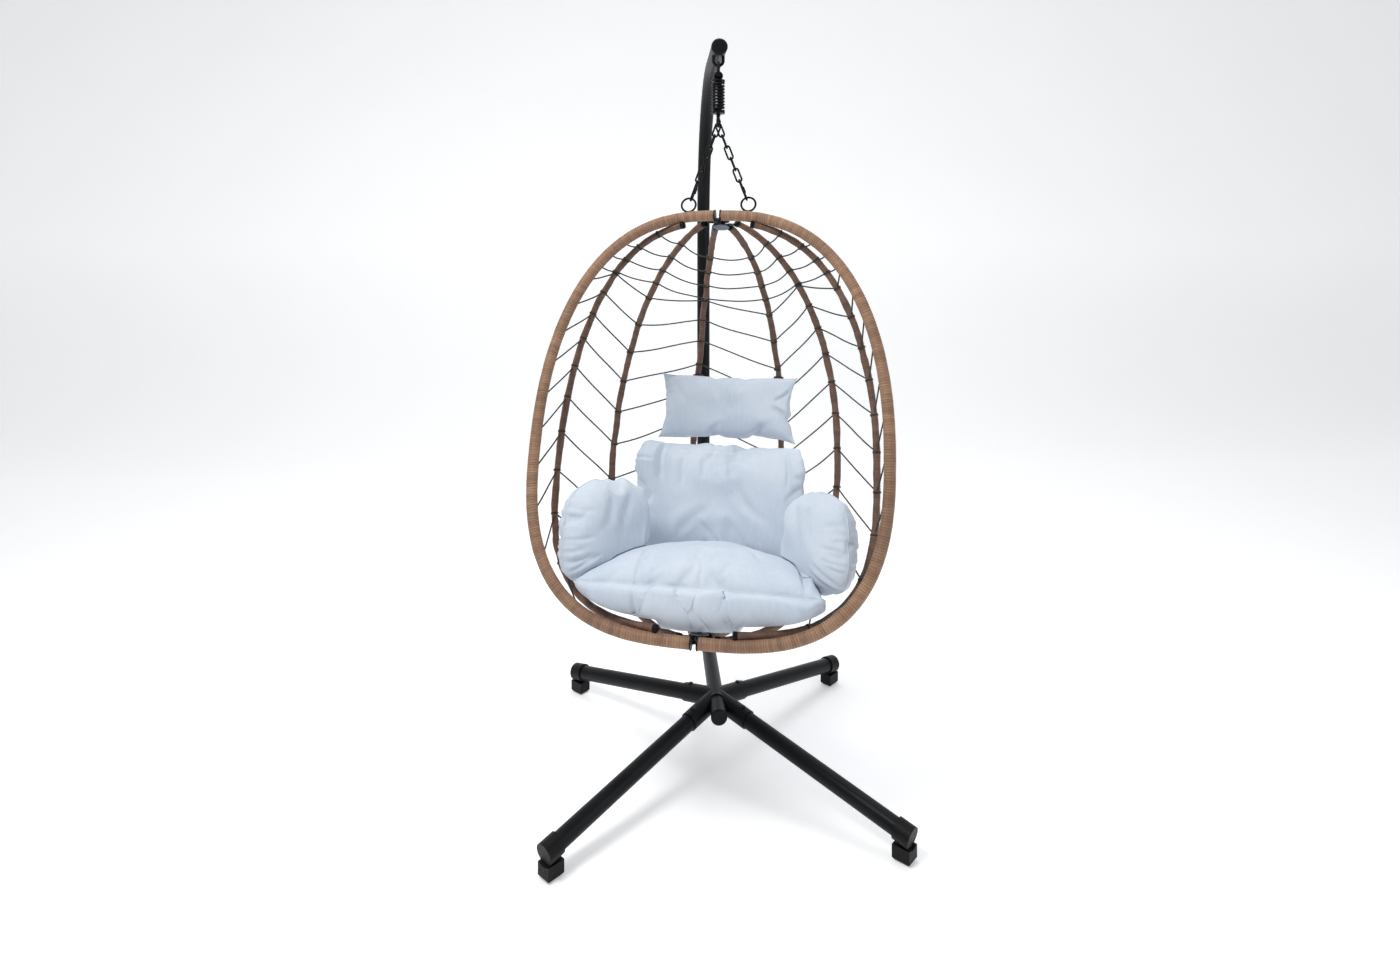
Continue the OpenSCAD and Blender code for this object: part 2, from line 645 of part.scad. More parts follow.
// A string between two uprights, cut back to their surfaces
module string(u, la, lb) {
    a = upright(u, la);
    b = upright(u + 1, lb);
    d = unit(b - a);
    ta = unit(upright(u, la + 1) - upright(u, la - 1));
    tb = unit(upright(u + 1, lb + 1) - upright(u + 1, lb - 1));
    ca = abs(d * ta);
    cb = abs(d * tb);
    cut_a = (upright_r(u) + string_gap + string_d / 2 * ca) / sqrt(1 - ca * ca);
    cut_b = (upright_r(u + 1) + string_gap + string_d / 2 * cb) / sqrt(1 - cb * cb);
    if (norm(b - a) > cut_a + cut_b + 2) rod(a + cut_a * d, b - cut_b * d, string_d / 2);
}

module strings(u) color(cord_grey) basket() {
    first = u == 0 || u == 6 ? 1 : 0;
    for (k = [first : len(level_rows) - 1]) string(u, level_rows[k], level_rows[k]);
    for (k = [0 : chevron_rows - 1]) string(u, chevron_level(u, k), chevron_level(u + 1, k));
}

// ---------- cushions ----------

cushion_n = 14;
// A stuffed cushion in the XZ plane: crowned both ways, its sides drawn in between the corners
function cushion_outline(w, h, u, v, draw) =
    [w / 2 * u * (1 - draw * (1 - v * v) * u * u), h / 2 * v * (1 - draw * (1 - u * u) * v * v)];
function crown(u, v) = pow(max(0, 1 - pow(abs(u), 3)), 0.55) * pow(max(0, 1 - pow(abs(v), 3)), 0.55);

module cushion(w, h, t, draw = 0.07, bend = 0, narrow = 0) {
    n = cushion_n;
    function at(i, j, face) = let (u = 2 * i / n - 1, v = 2 * j / n - 1,
        p = cushion_outline(w, h, u, v, draw), waist = 1 - narrow * pow((1 - v) / 2, 2.2))
        [p[0] * waist, -face * t / 2 * crown(u, v) - bend * u * u, p[1]];
    front = [for (j = [0 : n], i = [0 : n]) at(i, j, 1)];
    back = [for (j = [1 : n - 1], i = [1 : n - 1]) at(i, j, -1)];
    function f(i, j) = j * (n + 1) + i;
    function b(i, j) = i == 0 || i == n || j == 0 || j == n ? f(i, j)
                     : len(front) + (j - 1) * (n - 1) + i - 1;
    // Each square's diagonal runs towards the nearest corner, so that no corner folds flat
    faces = [for (j = [0 : n - 1], i = [0 : n - 1]) each (i < n / 2) == (j < n / 2) ? [
        [f(i, j), f(i + 1, j + 1), f(i + 1, j)], [f(i, j), f(i, j + 1), f(i + 1, j + 1)],
        [b(i, j), b(i + 1, j), b(i + 1, j + 1)], [b(i, j), b(i + 1, j + 1), b(i, j + 1)]] : [
        [f(i, j), f(i, j + 1), f(i + 1, j)], [f(i, j + 1), f(i + 1, j + 1), f(i + 1, j)],
        [b(i, j), b(i + 1, j), b(i, j + 1)], [b(i + 1, j), b(i + 1, j + 1), b(i, j + 1)]]];
    polyhedron(concat(front, back), faces, convexity = 4);
}

seat_pos = [0, 194, -948];
seat_narrow = 0.68;     // how much narrower its back edge is
back_rest_y = axis_y + back_rib_reach;          // the back ribs' furthest reach behind the mouth
back_in = 142;          // from there to the middle of the back cushion
pillow_in = 111.5;      // and to the middle of the head pillow
back_pos = [0, back_rest_y - back_in, -748];
back_lean = -4;
back_bend = 108;        // how far its two sides come forward
pillow_pos = [0, back_rest_y - pillow_in, -480];
pillow_lean = 6;
pillow_bend = 60;
arm_pos = [276, 120, -818];
arm_turn = 57;

module seat_form(grow = 0) basket() translate(seat_pos) rotate([90, 0, 0])
    cushion(seat_w + grow, seat_depth + grow, seat_t + grow, draw = 0.05, narrow = seat_narrow);
module seat_cushion() color(cloth) seat_form();
module back_cushion() color(cloth) basket() translate(back_pos) rotate([back_lean, 0, 0])
    cushion(back_w, back_h, back_t, draw = 0.06, bend = back_bend);
module head_pillow() color(cloth) basket() translate(pillow_pos) rotate([pillow_lean, 0, 0])
    cushion(pillow_w, pillow_h, pillow_t, draw = 0.1, bend = pillow_bend);
// An arm cushion rests on the seat cushion, which presses a hollow into it
module arm_cushion(s) color(cloth) difference() {
    basket() translate([s * arm_pos.x, arm_pos.y, arm_pos.z]) rotate([0, 0, -s * arm_turn])
        cushion(arm_len, arm_h, arm_t, draw = 0.08);
    seat_form(grow = 2);
}

// A webbing loop that holds the head pillow to a back rib
strap_w = 16;
strap_t = 1.6;
strap_slack = 3.8;      // from the rib's surface to the loop
strap_level = -386;
module pillow_strap(i) color([0.1, 0.1, 0.11]) basket() {
    p = rib_level(i, strap_level);
    translate([p.x, p.y, p.z]) difference() {
        cylinder(h = strap_w, r = rib_r + strap_slack + strap_t, center = true);
        cylinder(h = strap_w + 2, r = rib_r + strap_slack, center = true);
    }
}

// ---------- nodes ----------

module placed() translate(hub_place) children();

placed() lower_pole();
placed() middle_pole();
placed() upper_pole();
placed() hub_sockets();
placed() leg(-1, -1);  // leg_front_left
placed() leg(1, -1);  // leg_front_right
placed() leg(-1, 1);  // leg_rear_left
placed() leg(1, 1);  // leg_rear_right
placed() foot(-1, -1);  // foot_front_left
placed() foot(1, -1);  // foot_front_right
placed() foot(-1, 1);  // foot_rear_left
placed() foot(1, 1);  // foot_rear_right
placed() leg_bolts();
placed() pole_bolts();
placed() pole_top_cap();
placed() pole_bottom_cap();
placed() hanger_eye();
placed() top_shackle();
placed() spring_top_plug();
placed() spring();
placed() spring_foot_plug();
placed() swivel_hook();
placed() chain(-1);  // chain_left
placed() chain(1);  // chain_right
placed() quick_link(-1);  // quick_link_left
placed() quick_link(1);  // quick_link_right
placed() quick_sleeve(-1);  // quick_sleeve_left
placed() quick_sleeve(1);  // quick_sleeve_right
placed() rim_ring(-1);  // rim_ring_left
placed() rim_ring(1);  // rim_ring_right
placed() rim_half(-1);  // rim_left
placed() rim_half(1);  // rim_right
placed() rim_arms(-1);  // rim_arms_left
placed() rim_arms(1);  // rim_arms_right
placed() rib(0);  // rib_1
placed() rib(1);  // rib_2
placed() rib(2);  // rib_3
placed() rib(3);  // rib_4
placed() rib(4);  // rib_5
placed() rib(5);  // rib_6
placed() rib_tabs(1);  // rib_2_tabs
placed() rib_tabs(2);  // rib_3_tabs
placed() rib_tabs(3);  // rib_4_tabs
placed() rib_tabs(4);  // rib_5_tabs
placed() disc(-disc_top);  // top_disc
placed() disc(-disc_foot);  // foot_disc
placed() strings(0);  // strings_0
placed() strings(1);  // strings_1
placed() strings(2);  // strings_2
placed() strings(3);  // strings_3
placed() strings(4);  // strings_4
placed() strings(5);  // strings_5
placed() strings(6);  // strings_6
placed() seat_cushion();
placed() back_cushion();
placed() arm_cushion(-1);  // arm_cushion_left
placed() arm_cushion(1);  // arm_cushion_right
placed() head_pillow();
placed() pillow_strap(2);  // pillow_strap_left
placed() pillow_strap(3);  // pillow_strap_right
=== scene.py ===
"""Hanging egg chair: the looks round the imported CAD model.

Lengths are in metres. The basket's own frame has its origin midway between the two rings,
x across the mouth, y towards the back, and its levels are negative below the rings.
"""
import json
import math
import random
from collections import namedtuple

import bmesh
import bpy
import numpy as np
from mathutils import Matrix, Vector, noise
from mathutils.bvhtree import BVHTree


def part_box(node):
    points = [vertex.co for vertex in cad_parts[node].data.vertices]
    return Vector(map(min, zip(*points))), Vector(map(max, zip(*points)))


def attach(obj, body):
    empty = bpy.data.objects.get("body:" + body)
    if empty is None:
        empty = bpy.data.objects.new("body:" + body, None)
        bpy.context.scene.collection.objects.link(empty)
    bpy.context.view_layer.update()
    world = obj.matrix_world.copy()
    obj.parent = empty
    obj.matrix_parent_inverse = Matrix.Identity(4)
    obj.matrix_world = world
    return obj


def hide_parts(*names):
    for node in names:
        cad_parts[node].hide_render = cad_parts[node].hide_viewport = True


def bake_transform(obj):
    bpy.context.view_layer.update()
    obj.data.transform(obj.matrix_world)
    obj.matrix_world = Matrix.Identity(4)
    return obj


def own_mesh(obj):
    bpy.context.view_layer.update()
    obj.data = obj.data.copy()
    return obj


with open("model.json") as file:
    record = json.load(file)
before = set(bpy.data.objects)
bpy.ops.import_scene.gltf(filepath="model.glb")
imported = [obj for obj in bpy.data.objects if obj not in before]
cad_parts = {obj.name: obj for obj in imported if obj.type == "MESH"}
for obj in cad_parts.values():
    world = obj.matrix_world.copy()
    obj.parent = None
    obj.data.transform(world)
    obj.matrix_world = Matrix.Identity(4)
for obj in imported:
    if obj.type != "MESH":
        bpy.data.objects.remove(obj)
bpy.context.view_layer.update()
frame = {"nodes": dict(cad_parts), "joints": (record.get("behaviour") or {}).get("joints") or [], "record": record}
scene = bpy.context.scene

# ---- camera, floor and light

# The photograph's view: a level camera at eye height, its frame shifted down from the horizon
EYE = Vector((-0.155, -2.271, 1.370))
LOOK = Vector((0.062, 0.998, 0.0))
LENS_MM = 21.0
SENSOR_MM = 36.0
HORIZON_SHIFT = -220 / 1400     # the horizon is 220 px above the middle of the 1400 px wide frame


def make_camera():
    data = bpy.data.cameras.new("camera")
    data.lens = LENS_MM
    data.sensor_width = SENSOR_MM
    data.shift_y = HORIZON_SHIFT
    camera = bpy.data.objects.new("camera", data)
    scene.collection.objects.link(camera)
    camera.location = EYE
    camera.rotation_mode = "QUATERNION"
    camera.rotation_quaternion = LOOK.to_track_quat("-Z", "Y")
    scene.camera = camera


WORLD_COLOUR = (0.96, 0.975, 1.0, 1)
WORLD_STRENGTH = 0.42
LIGHT_AIM = (0.0, 0.0, 1.0)
# Each light's name, place, size, watts and colour
LIGHTS = [
    ("key", (-1.5, -1.3, 3.5), 1.2, 74, (1.0, 0.985, 0.96)),
    ("fill", (2.8, -1.9, 1.8), 2.2, 22, (0.92, 0.96, 1.0)),
    ("top_light", (0.4, 0.9, 3.7), 2.2, 36, (1.0, 1.0, 1.0)),
]


def make_light(name, place, size, watts, colour):
    data = bpy.data.lights.new(name, "AREA")
    data.shape = "DISK"
    data.size = size
    data.energy = watts
    data.color = colour
    light = bpy.data.objects.new(name, data)
    scene.collection.objects.link(light)
    light.location = place
    light.rotation_mode = "QUATERNION"
    light.rotation_quaternion = (Vector(LIGHT_AIM) - Vector(place)).to_track_quat("-Z", "Y")


def make_studio():
    world = bpy.data.worlds.new("studio")
    world.use_nodes = True
    background = world.node_tree.nodes["Background"]
    background.inputs["Color"].default_value = WORLD_COLOUR
    background.inputs["Strength"].default_value = WORLD_STRENGTH
    scene.world = world
    scene.view_settings.view_transform = "Standard"
    for light in LIGHTS:
        make_light(*light)
    make_backdrop()


BACKDROP_FRONT = -7.0
BACKDROP_Y = 3.0            # where the floor turns up into the wall
BACKDROP_BEND = 1.5
BEND_STEPS = 24
BACKDROP_HALF = 9.0
BACKDROP_TOP = 7.0


def make_backdrop():
    """A pale floor that curves up behind the chair without a line."""
    profile = [(BACKDROP_FRONT, 0.0), (BACKDROP_Y, 0.0)]
    for k in range(1, BEND_STEPS + 1):
        a = math.radians(90 * k / BEND_STEPS)
        profile.append((BACKDROP_Y + BACKDROP_BEND * math.sin(a), BACKDROP_BEND * (1 - math.cos(a))))
    profile.append((BACKDROP_Y + BACKDROP_BEND, BACKDROP_TOP))
    points = [(x, y, z) for y, z in profile for x in (-BACKDROP_HALF, BACKDROP_HALF)]
    faces = [(2 * k, 2 * k + 1, 2 * k + 3, 2 * k + 2) for k in range(len(profile) - 1)]
    mesh_object("backdrop", points, faces, plain_floor())


# ---- materials

def shader(name, colour, roughness, specular=0.5, sheen=0.0):
    """A material and its tree, with the plain numbers set on the shader's own sockets."""
    mat = bpy.data.materials.new(name)
    mat.use_nodes = True
    tree = mat.node_tree
    bsdf = tree.nodes["Principled BSDF"]
    bsdf.inputs["Base Color"].default_value = (*colour, 1)
    bsdf.inputs["Roughness"].default_value = roughness
    bsdf.inputs["Specular IOR Level"].default_value = specular
    bsdf.inputs["Sheen Weight"].default_value = sheen
    bsdf.inputs["Sheen Roughness"].default_value = 0.5
    return mat, tree, bsdf


def node(tree, kind, inputs=None, **settings):
    made = tree.nodes.new(kind)
    for key, value in settings.items():
        setattr(made, key, value)
    for key, value in (inputs or {}).items():
        if isinstance(value, bpy.types.NodeSocket):
            tree.links.new(value, made.inputs[key])
        else:
            made.inputs[key].default_value = value
    return made


def noise_at(tree, scale, detail, where=None, stretch=None):
    """Noise in the object's own coordinates, or in those given, from 0 to 1."""
    place = where if where is not None else node(tree, "ShaderNodeTexCoord").outputs["Object"]
    if stretch:
        mapping = {"Vector": place, "Scale": stretch}
        place = node(tree, "ShaderNodeMapping", mapping).outputs["Vector"]
    inputs = {"Vector": place, "Scale": scale, "Detail": detail}
    return node(tree, "ShaderNodeTexNoise", inputs).outputs["Fac"]


def threads(tree, where, scale, along, distortion=0.0):
    """Bands that follow one another along an axis, from 0 to 1."""
    inputs = {"Vector": where, "Scale": scale, "Distortion": distortion, "Detail": 1.0}
    return node(tree, "ShaderNodeTexWave", inputs, bands_direction=along).outputs["Fac"]


def spread(tree, value, low, high, out_low, out_high):
    return node(tree, "ShaderNodeMapRange", {
        "Value": value, "From Min": low, "From Max": high, "To Min": out_low, "To Max": out_high,
    }).outputs["Result"]


def patches(tree, value):
    """Noise with its middle stretched to the whole of 0 to 1."""
    return spread(tree, value, 0.35, 0.7, 0, 1)


def blend_colours(tree, factor, first, second):
    mix = node(tree, "ShaderNodeMix", data_type="RGBA")
    tree.links.new(factor, mix.inputs["Factor"])
    for socket, value in ((mix.inputs[6], first), (mix.inputs[7], second)):
        if isinstance(value, bpy.types.NodeSocket):
            tree.links.new(value, socket)
        else:
            socket.default_value = (*value, 1)
    return mix.outputs[2]


def bump(tree, bsdf, height, distance, strength=1.0, after=None):
    inputs = {"Height": height, "Distance": distance, "Strength": strength}
    if after:
        inputs["Normal"] = after
    made = node(tree, "ShaderNodeBump", inputs).outputs["Normal"]
    tree.links.new(made, bsdf.inputs["Normal"])
    return made


FLOOR_COLOUR = (0.92, 0.93, 0.94)
FLOOR_LIGHTER = (0.95, 0.955, 0.96)
FLOOR_GLOW = 0.26


def plain_floor():
    mat, tree, bsdf = shader("pale_floor", FLOOR_COLOUR, 0.6)
    tone = blend_colours(tree, noise_at(tree, 3.0, 3), FLOOR_COLOUR, FLOOR_LIGHTER)
    tree.links.new(tone, bsdf.inputs["Base Color"])
    bsdf.inputs["Emission Color"].default_value = (1, 1, 1, 1)
    bsdf.inputs["Emission Strength"].default_value = FLOOR_GLOW
    return mat


def powder_coat(name, colour, lighter, grain, grain_depth, roughness, worn=0.0, specular=0.14):
    """Painted steel or plastic: a fine orange peel, slow changes of tone, and scuffs if it is worn."""
    mat, tree, bsdf = shader(name, colour, roughness, specular)
    slow = noise_at(tree, 9.0, 3)
    fine = noise_at(tree, grain, 2)
    tone = blend_colours(tree, patches(tree, slow), colour, lighter)
    if worn:
        scuff = spread(tree, noise_at(tree, 70.0, 4), 0.66, 0.74, 0, worn)
        tone = blend_colours(tree, scuff, tone, tuple(3 * c for c in lighter))
    tree.links.new(tone, bsdf.inputs["Base Color"])
    tree.links.new(spread(tree, fine, 0.3, 0.7, roughness - 0.07, roughness + 0.1), bsdf.inputs["Roughness"])
    bump(tree, bsdf, fine, grain_depth)
    return mat


STREAKS = 900               # scale of the fine ribs across a strip


def strip_wrap(name, dark, mid, light, groove):
    """Flat plastic strip wound round a tube, with painted shade in the grooves between its turns. The mesh carries
    where each point lies on the strip.
    """
    mat, tree, bsdf = shader(name, mid, 0.5)
    strip = node(tree, "ShaderNodeAttribute", attribute_name="strip").outputs["Vector"]
    parts = node(tree, "ShaderNodeSeparateXYZ", {"Vector": strip}).outputs
    # Fine ribs run along the strip, and slow changes of dye show from turn to turn
    streaks = noise_at(tree, STREAKS, 3, where=strip, stretch=(0.02, 1, 0))
    dye = noise_at(tree, 34.0, 3, where=strip, stretch=(0.12, 1, 0))
    fade = noise_at(tree, 5.5, 3)
    tone = blend_colours(tree, spread(tree, dye, 0.28, 0.62, 0, 1), dark, mid)
    tone = blend_colours(tree, spread(tree, streaks, 0.5, 0.74, 0, 0.8), tone, light)
    tone = blend_colours(tree, spread(tree, fade, 0.42, 0.72, 0, 0.6), tone, dark)
    # Painted shade: the recess between turns is darkened towards the groove colour
    tone = blend_colours(tree, spread(tree, parts["Z"], 0.62, 1.0, 0, 0.92), tone, groove)
    tree.links.new(tone, bsdf.inputs["Base Color"])
    tree.links.new(spread(tree, streaks, 0.3, 0.7, 0.42, 0.66), bsdf.inputs["Roughness"])
    bump(tree, bsdf, streaks, 0.0006)
    return mat


def twisted_cord(name, colour, light):
    mat, tree, bsdf = shader(name, colour, 0.6)
    strip = node(tree, "ShaderNodeAttribute", attribute_name="strip").outputs["Vector"]
    lay = threads(tree, strip, 90.0, "X", 0.6)
    tone = blend_colours(tree, patches(tree, noise_at(tree, 420.0, 2)), colour, light)
    tree.links.new(tone, bsdf.inputs["Base Color"])
    bump(tree, bsdf, lay, 0.0005)
    return mat


CLOTH_THREADS = 420.0
CLOTH_DARK = (0.525, 0.60, 0.70)
CLOTH_MID = (0.60, 0.67, 0.755)
CLOTH_LIGHT = (0.66, 0.715, 0.785)


def cushion_cloth(name):
    """Close polyester weave: crossing threads, slubs, and slow changes of tone."""
    mat, tree, bsdf = shader(name, (0.59, 0.66, 0.76), 0.82, sheen=0.25)
    place = node(tree, "ShaderNodeTexCoord").outputs["Object"]
    weave = [threads(tree, place, CLOTH_THREADS / 2, along, 0.4) for along in ("X", "Z")]
    crossed = node(tree, "ShaderNodeMath", {0: weave[0], 1: weave[1]}, operation="MULTIPLY").outputs[0]
    slub = noise_at(tree, 130.0, 3, stretch=(1, 1, 0.25))
    slow = noise_at(tree, 7.0, 3)
    tone = blend_colours(tree, patches(tree, slow), CLOTH_DARK, CLOTH_MID)
    tone = blend_colours(tree, spread(tree, slub, 0.4, 0.75, 0, 0.35), tone, CLOTH_LIGHT)
    tree.links.new(tone, bsdf.inputs["Base Color"])
    first = bump(tree, bsdf, crossed, 0.0003, 0.7)
    bump(tree, bsdf, slub, 0.0006, 0.5, after=first)
    return mat


def webbing(name):
    mat, tree, bsdf = shader(name, (0.012, 0.012, 0.014), 0.7, sheen=0.2)
    place = node(tree, "ShaderNodeTexCoord").outputs["Object"]
    ribs = threads(tree, place, 160.0, "Z")
    tone = blend_colours(tree, ribs, (0.01, 0.01, 0.012), (0.03, 0.03, 0.034))
    tree.links.new(tone, bsdf.inputs["Base Color"])
    bump(tree, bsdf, ribs, 0.0006)
    return mat


# Each slot's maker and what it takes after the name
FINISHES = {
    "stand_coat": (powder_coat, (0.0035, 0.004, 0.0055), (0.007, 0.008, 0.0095), 900, 0.0002, 0.36),
    "black_plastic": (powder_coat, (0.004, 0.004, 0.0045), (0.008, 0.008, 0.009), 1500, 0.0002, 0.45),
    "bolt_steel": (powder_coat, (0.01, 0.01, 0.011), (0.03, 0.03, 0.032), 500, 0.0001, 0.3, 0.3),
    "hardware_black": (
        powder_coat, (0.003, 0.003, 0.0035), (0.008, 0.008, 0.009), 500, 0.0002, 0.34, 0.2),
    "disc_grey": (powder_coat, (0.1, 0.12, 0.15), (0.16, 0.18, 0.22), 400, 0.0002, 0.4, 0.5, 0.4),
    # Each wrap's last colour is painted shade for the grooves between its turns
    "rim_wrap": (strip_wrap, (0.165, 0.085, 0.05), (0.33, 0.185, 0.105), (0.52, 0.34, 0.205),
                 (0.035, 0.017, 0.01)),
    "rib_wrap": (strip_wrap, (0.075, 0.038, 0.027), (0.17, 0.088, 0.055), (0.28, 0.16, 0.1),
                 (0.025, 0.012, 0.008)),
    "string_cord": (twisted_cord, (0.014, 0.0145, 0.013), (0.045, 0.045, 0.04)),
    "cushion_cloth": (cushion_cloth,),
    "strap_webbing": (webbing,),
}
# Looked up by slot, because the CAD model's own materials already have these names
MATERIALS = {name: finish[0](name, *finish[1:]) for name, finish in FINISHES.items()}


# ---- the basket's own frame

fold = next(j for j in frame["joints"] if j["name"] == "fold")
AXIS_BACK = 0.058           # the fold axis lies this far behind the mouth
AXIS_LEVEL = -0.600         # and this is the level of the joint's point on it
UP = -Vector(fold["axis"]).normalized()
ACROSS = UP.cross(Vector((0, 0, 1))).normalized()
BACK = UP.cross(ACROSS)
ORIGIN = Vector(fold["pos_m"]) - BACK * AXIS_BACK - UP * AXIS_LEVEL
TO_WORLD = np.array([ACROSS, BACK, UP])


def placed(points):
    """Points of the basket's frame, as rows, in the row frame."""
    return np.asarray(points, float) @ TO_WORLD + np.array(ORIGIN)


def direction(vector):
    return np.asarray(vector, float) @ TO_WORLD


# ---- the basket's curves

RIM_R = 0.0145
RIB_R = 0.0095
RIM_TOP = -0.0305
RIM_FOOT = -1.062
DISC_TOP = RIM_TOP - 0.003
DISC_FOOT = RIM_FOOT + 0.003
OUTER_TOP = RIM_TOP - RIM_R - RIB_R + 0.001
OUTER_FOOT = RIM_FOOT + RIM_R + RIB_R - 0.001

# Half of an egg outline: reach at its widest level, its ends, and the powers above and below
Egg = namedtuple("Egg", "reach mid top foot upper lower")
# A rib lies in an upright plane at this angle from straight back, offset sideways, and starts at
# this reach
Rib = namedtuple("Rib", "egg angle offset start")

RIM = Egg(0.436, -0.618, RIM_TOP, RIM_FOOT, (2.6, 2.15), (3.0, 2.75))
OUTER = Rib(Egg(0.402, -0.660, OUTER_TOP, OUTER_FOOT, (2.6, 2.1), (3.4, 3.0)), 72, 0.084, 0.066)
SIDE = Rib(Egg(0.366, -0.650, DISC_TOP, DISC_FOOT, (1.75, 2.3), (2.6, 2.6)), 51, 0.037, 0.024)
REAR = Rib(Egg(0.480, -0.690, DISC_TOP, DISC_FOOT, (2.2, 2.0), (2.6, 2.6)), 15, 0.013, 0.024)
RIBS = [OUTER, SIDE, REAR, REAR, SIDE, OUTER]
RIM_GAP = 0.019
RIB_BODIES = ["left_half", "rib_2_fan", "rib_3_fan", "rib_4_fan", "rib_5_fan", "right_half"]


def rib_side(i):
    return -1 if i < 3 else 1


def egg_reach(egg, level):
    upper = level > egg.mid
    power = egg.upper if upper else egg.lower
    height = egg.top - egg.mid if upper else egg.mid - egg.foot
    share = min(1.0, abs(level - egg.mid) / height)
    return egg.reach * max(0.0, 1 - share ** power[1]) ** (1 / power[0])


def egg_line(egg, start, count=500):
    """Reach and level along the outline, from where its reach is start at the top to the same at the foot."""
    top = math.acos((start / egg.reach) ** (egg.upper[0] / 2))
    foot = math.acos((start / egg.reach) ** (egg.lower[0] / 2))
    t = np.linspace(top, -foot, count)
    upper = t > 0
    reach_power = np.where(upper, 2 / egg.upper[0], 2 / egg.lower[0])
    level_power = np.where(upper, 2 / egg.upper[1], 2 / egg.lower[1])
    height = np.where(upper, egg.top - egg.mid, egg.mid - egg.foot)
    reach = egg.reach * np.abs(np.cos(t)) ** reach_power
    level = egg.mid + np.sign(t) * height * np.abs(np.sin(t)) ** level_power
    return reach, level


def rib_points(i, reach, level):
    rib = RIBS[i]
    a, d, s = math.radians(rib.angle), rib.offset, rib_side(i)
    reach = np.asarray(reach, float)
    level = np.asarray(level, float)
    return np.stack([
        s * (d * math.cos(a) + reach * math.sin(a)),
        AXIS_BACK - d * math.sin(a) + reach * math.cos(a),
        level,
    ], axis=-1)


def upright_point(u, level):
    """Where upright u, from 0 at the left rim to 7 at the right rim, passes a level."""
    if u in (0, 7):
        return np.array([(-1 if u == 0 else 1) * egg_reach(RIM, level), 0, level])
    return rib_points(u - 1, egg_reach(RIBS[u - 1].egg, level), level)


def upright_radius(u):
    return RIM_R if u in (0, 7) else RIB_R


# ---- mesh helpers

def mesh_object(name, points, faces, material):
    mesh = bpy.data.meshes.new(name)
    mesh.from_pydata([tuple(p) for p in points], [], [tuple(int(i) for i in f) for f in faces])
    mesh.polygons.foreach_set("use_smooth", [True] * len(mesh.polygons))
    if material:
        mesh.materials.append(material)
    made = bpy.data.objects.new(name, mesh)
    scene.collection.objects.link(made)
    return made


def set_attribute(mesh, name, values):
    layer = mesh.attributes.new(name, "FLOAT_VECTOR", "POINT")
    layer.data.foreach_set("vector", np.asarray(values, np.float32).ravel())


def measured(line):
    """A line's points, its length, and the distance of each point along it."""
    line = np.asarray(line, float)
    steps = np.linalg.norm(np.diff(line, axis=0), axis=1)
    along = np.concatenate([[0], np.cumsum(steps)])
    return line, along[-1], along


def sample(line, along, s):
    return np.stack([np.interp(s, along, line[:, k]) for k in range(3)], axis=-1)


def rings_along(line, side):
    """Unit vectors square to a line at each point: one near side, and the other across it."""
    tangent = np.gradient(line, axis=0)
    tangent /= np.linalg.norm(tangent, axis=1)[:, None]
    u = side - (tangent @ side)[:, None] * tangent if side.ndim == 1 else side
    u = u / np.linalg.norm(u, axis=1)[:, None]
    return u, np.cross(tangent, u)


def tube(line, side, radius, sides=8, closed_ends=True):
    """Points, faces and strip coordinates of a round tube along a line."""
    line, _, along = measured(line)
    u, w = rings_along(line, np.asarray(side, float))
    angle = np.linspace(0, 2 * math.pi, sides, endpoint=False)
    ring = np.cos(angle)[None, :, None] * u[:, None, :] + np.sin(angle)[None, :, None] * w[:, None, :]
    radius = np.broadcast_to(np.asarray(radius, float), (len(line),))
    points = (line[:, None, :] + radius[:, None, None] * ring).reshape(-1, 3)
    twist = along[:, None] + angle[None, :] * radius[:, None]
    lengthwise = np.broadcast_to(along[:, None], twist.shape)
    strip = np.stack([twist, lengthwise, np.zeros_like(twist)], -1).reshape(-1, 3)
    faces = []
    for i in range(len(line) - 1):
        for k in range(sides):
            a, b = i * sides + k, i * sides + (k + 1) % sides
            faces.append((a, b, b + sides, a + sides))
    if closed_ends:
        last = (len(line) - 1) * sides
        faces.append(tuple(range(sides - 1, -1, -1)))
        faces.append(tuple(range(last, last + sides)))
    return points, faces, strip


def joined(parts):
    """Several (points, faces, strip) as one."""
    points, faces, strips, base = [], [], [], 0
    for part in parts:
        points.append(part[0])
        strips.append(part[2])
        faces += [tuple(i + base for i in f) for f in part[1]]
        base += len(part[0])
    return np.concatenate(points), faces, np.concatenate(strips)


def tubes_object(name, parts, material):
    points, faces, strip = joined(parts)
    made = mesh_object(name, points, faces, material)
    set_attribute(made.data, "strip", strip)
    return made


def dressed(obj, body, slot, *nodes):
    """The piece rides on a body and stands for its CAD nodes; slot is not used."""
    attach(obj, body)
    if nodes:
        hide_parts(*nodes)
    return obj


# ---- wrapped tubes

STRIP_STEPS = (0.0, 0.16, 0.5, 0.84)        # rows across one turn of the strip
STRIP_DIP = (1.0, 0.16, 0.0, 0.16)          # how far each row lies below the crown, as a share


# How a tube is wound: its radius over the strip, the strip's width, the depth of its grooves, the
# points round it, how far its radius varies, and the strip's material
Wrap = namedtuple("Wrap", "radius strip dip sides unevenness material")
RIM_WRAP = Wrap(RIM_R, 0.0064, 0.0011, 24, 0.0004, MATERIALS["rim_wrap"])
RIB_WRAP = Wrap(RIB_R, 0.0058, 0.0010, 16, 0.0015, MATERIALS["rib_wrap"])
TANGENT_STEP = 0.002


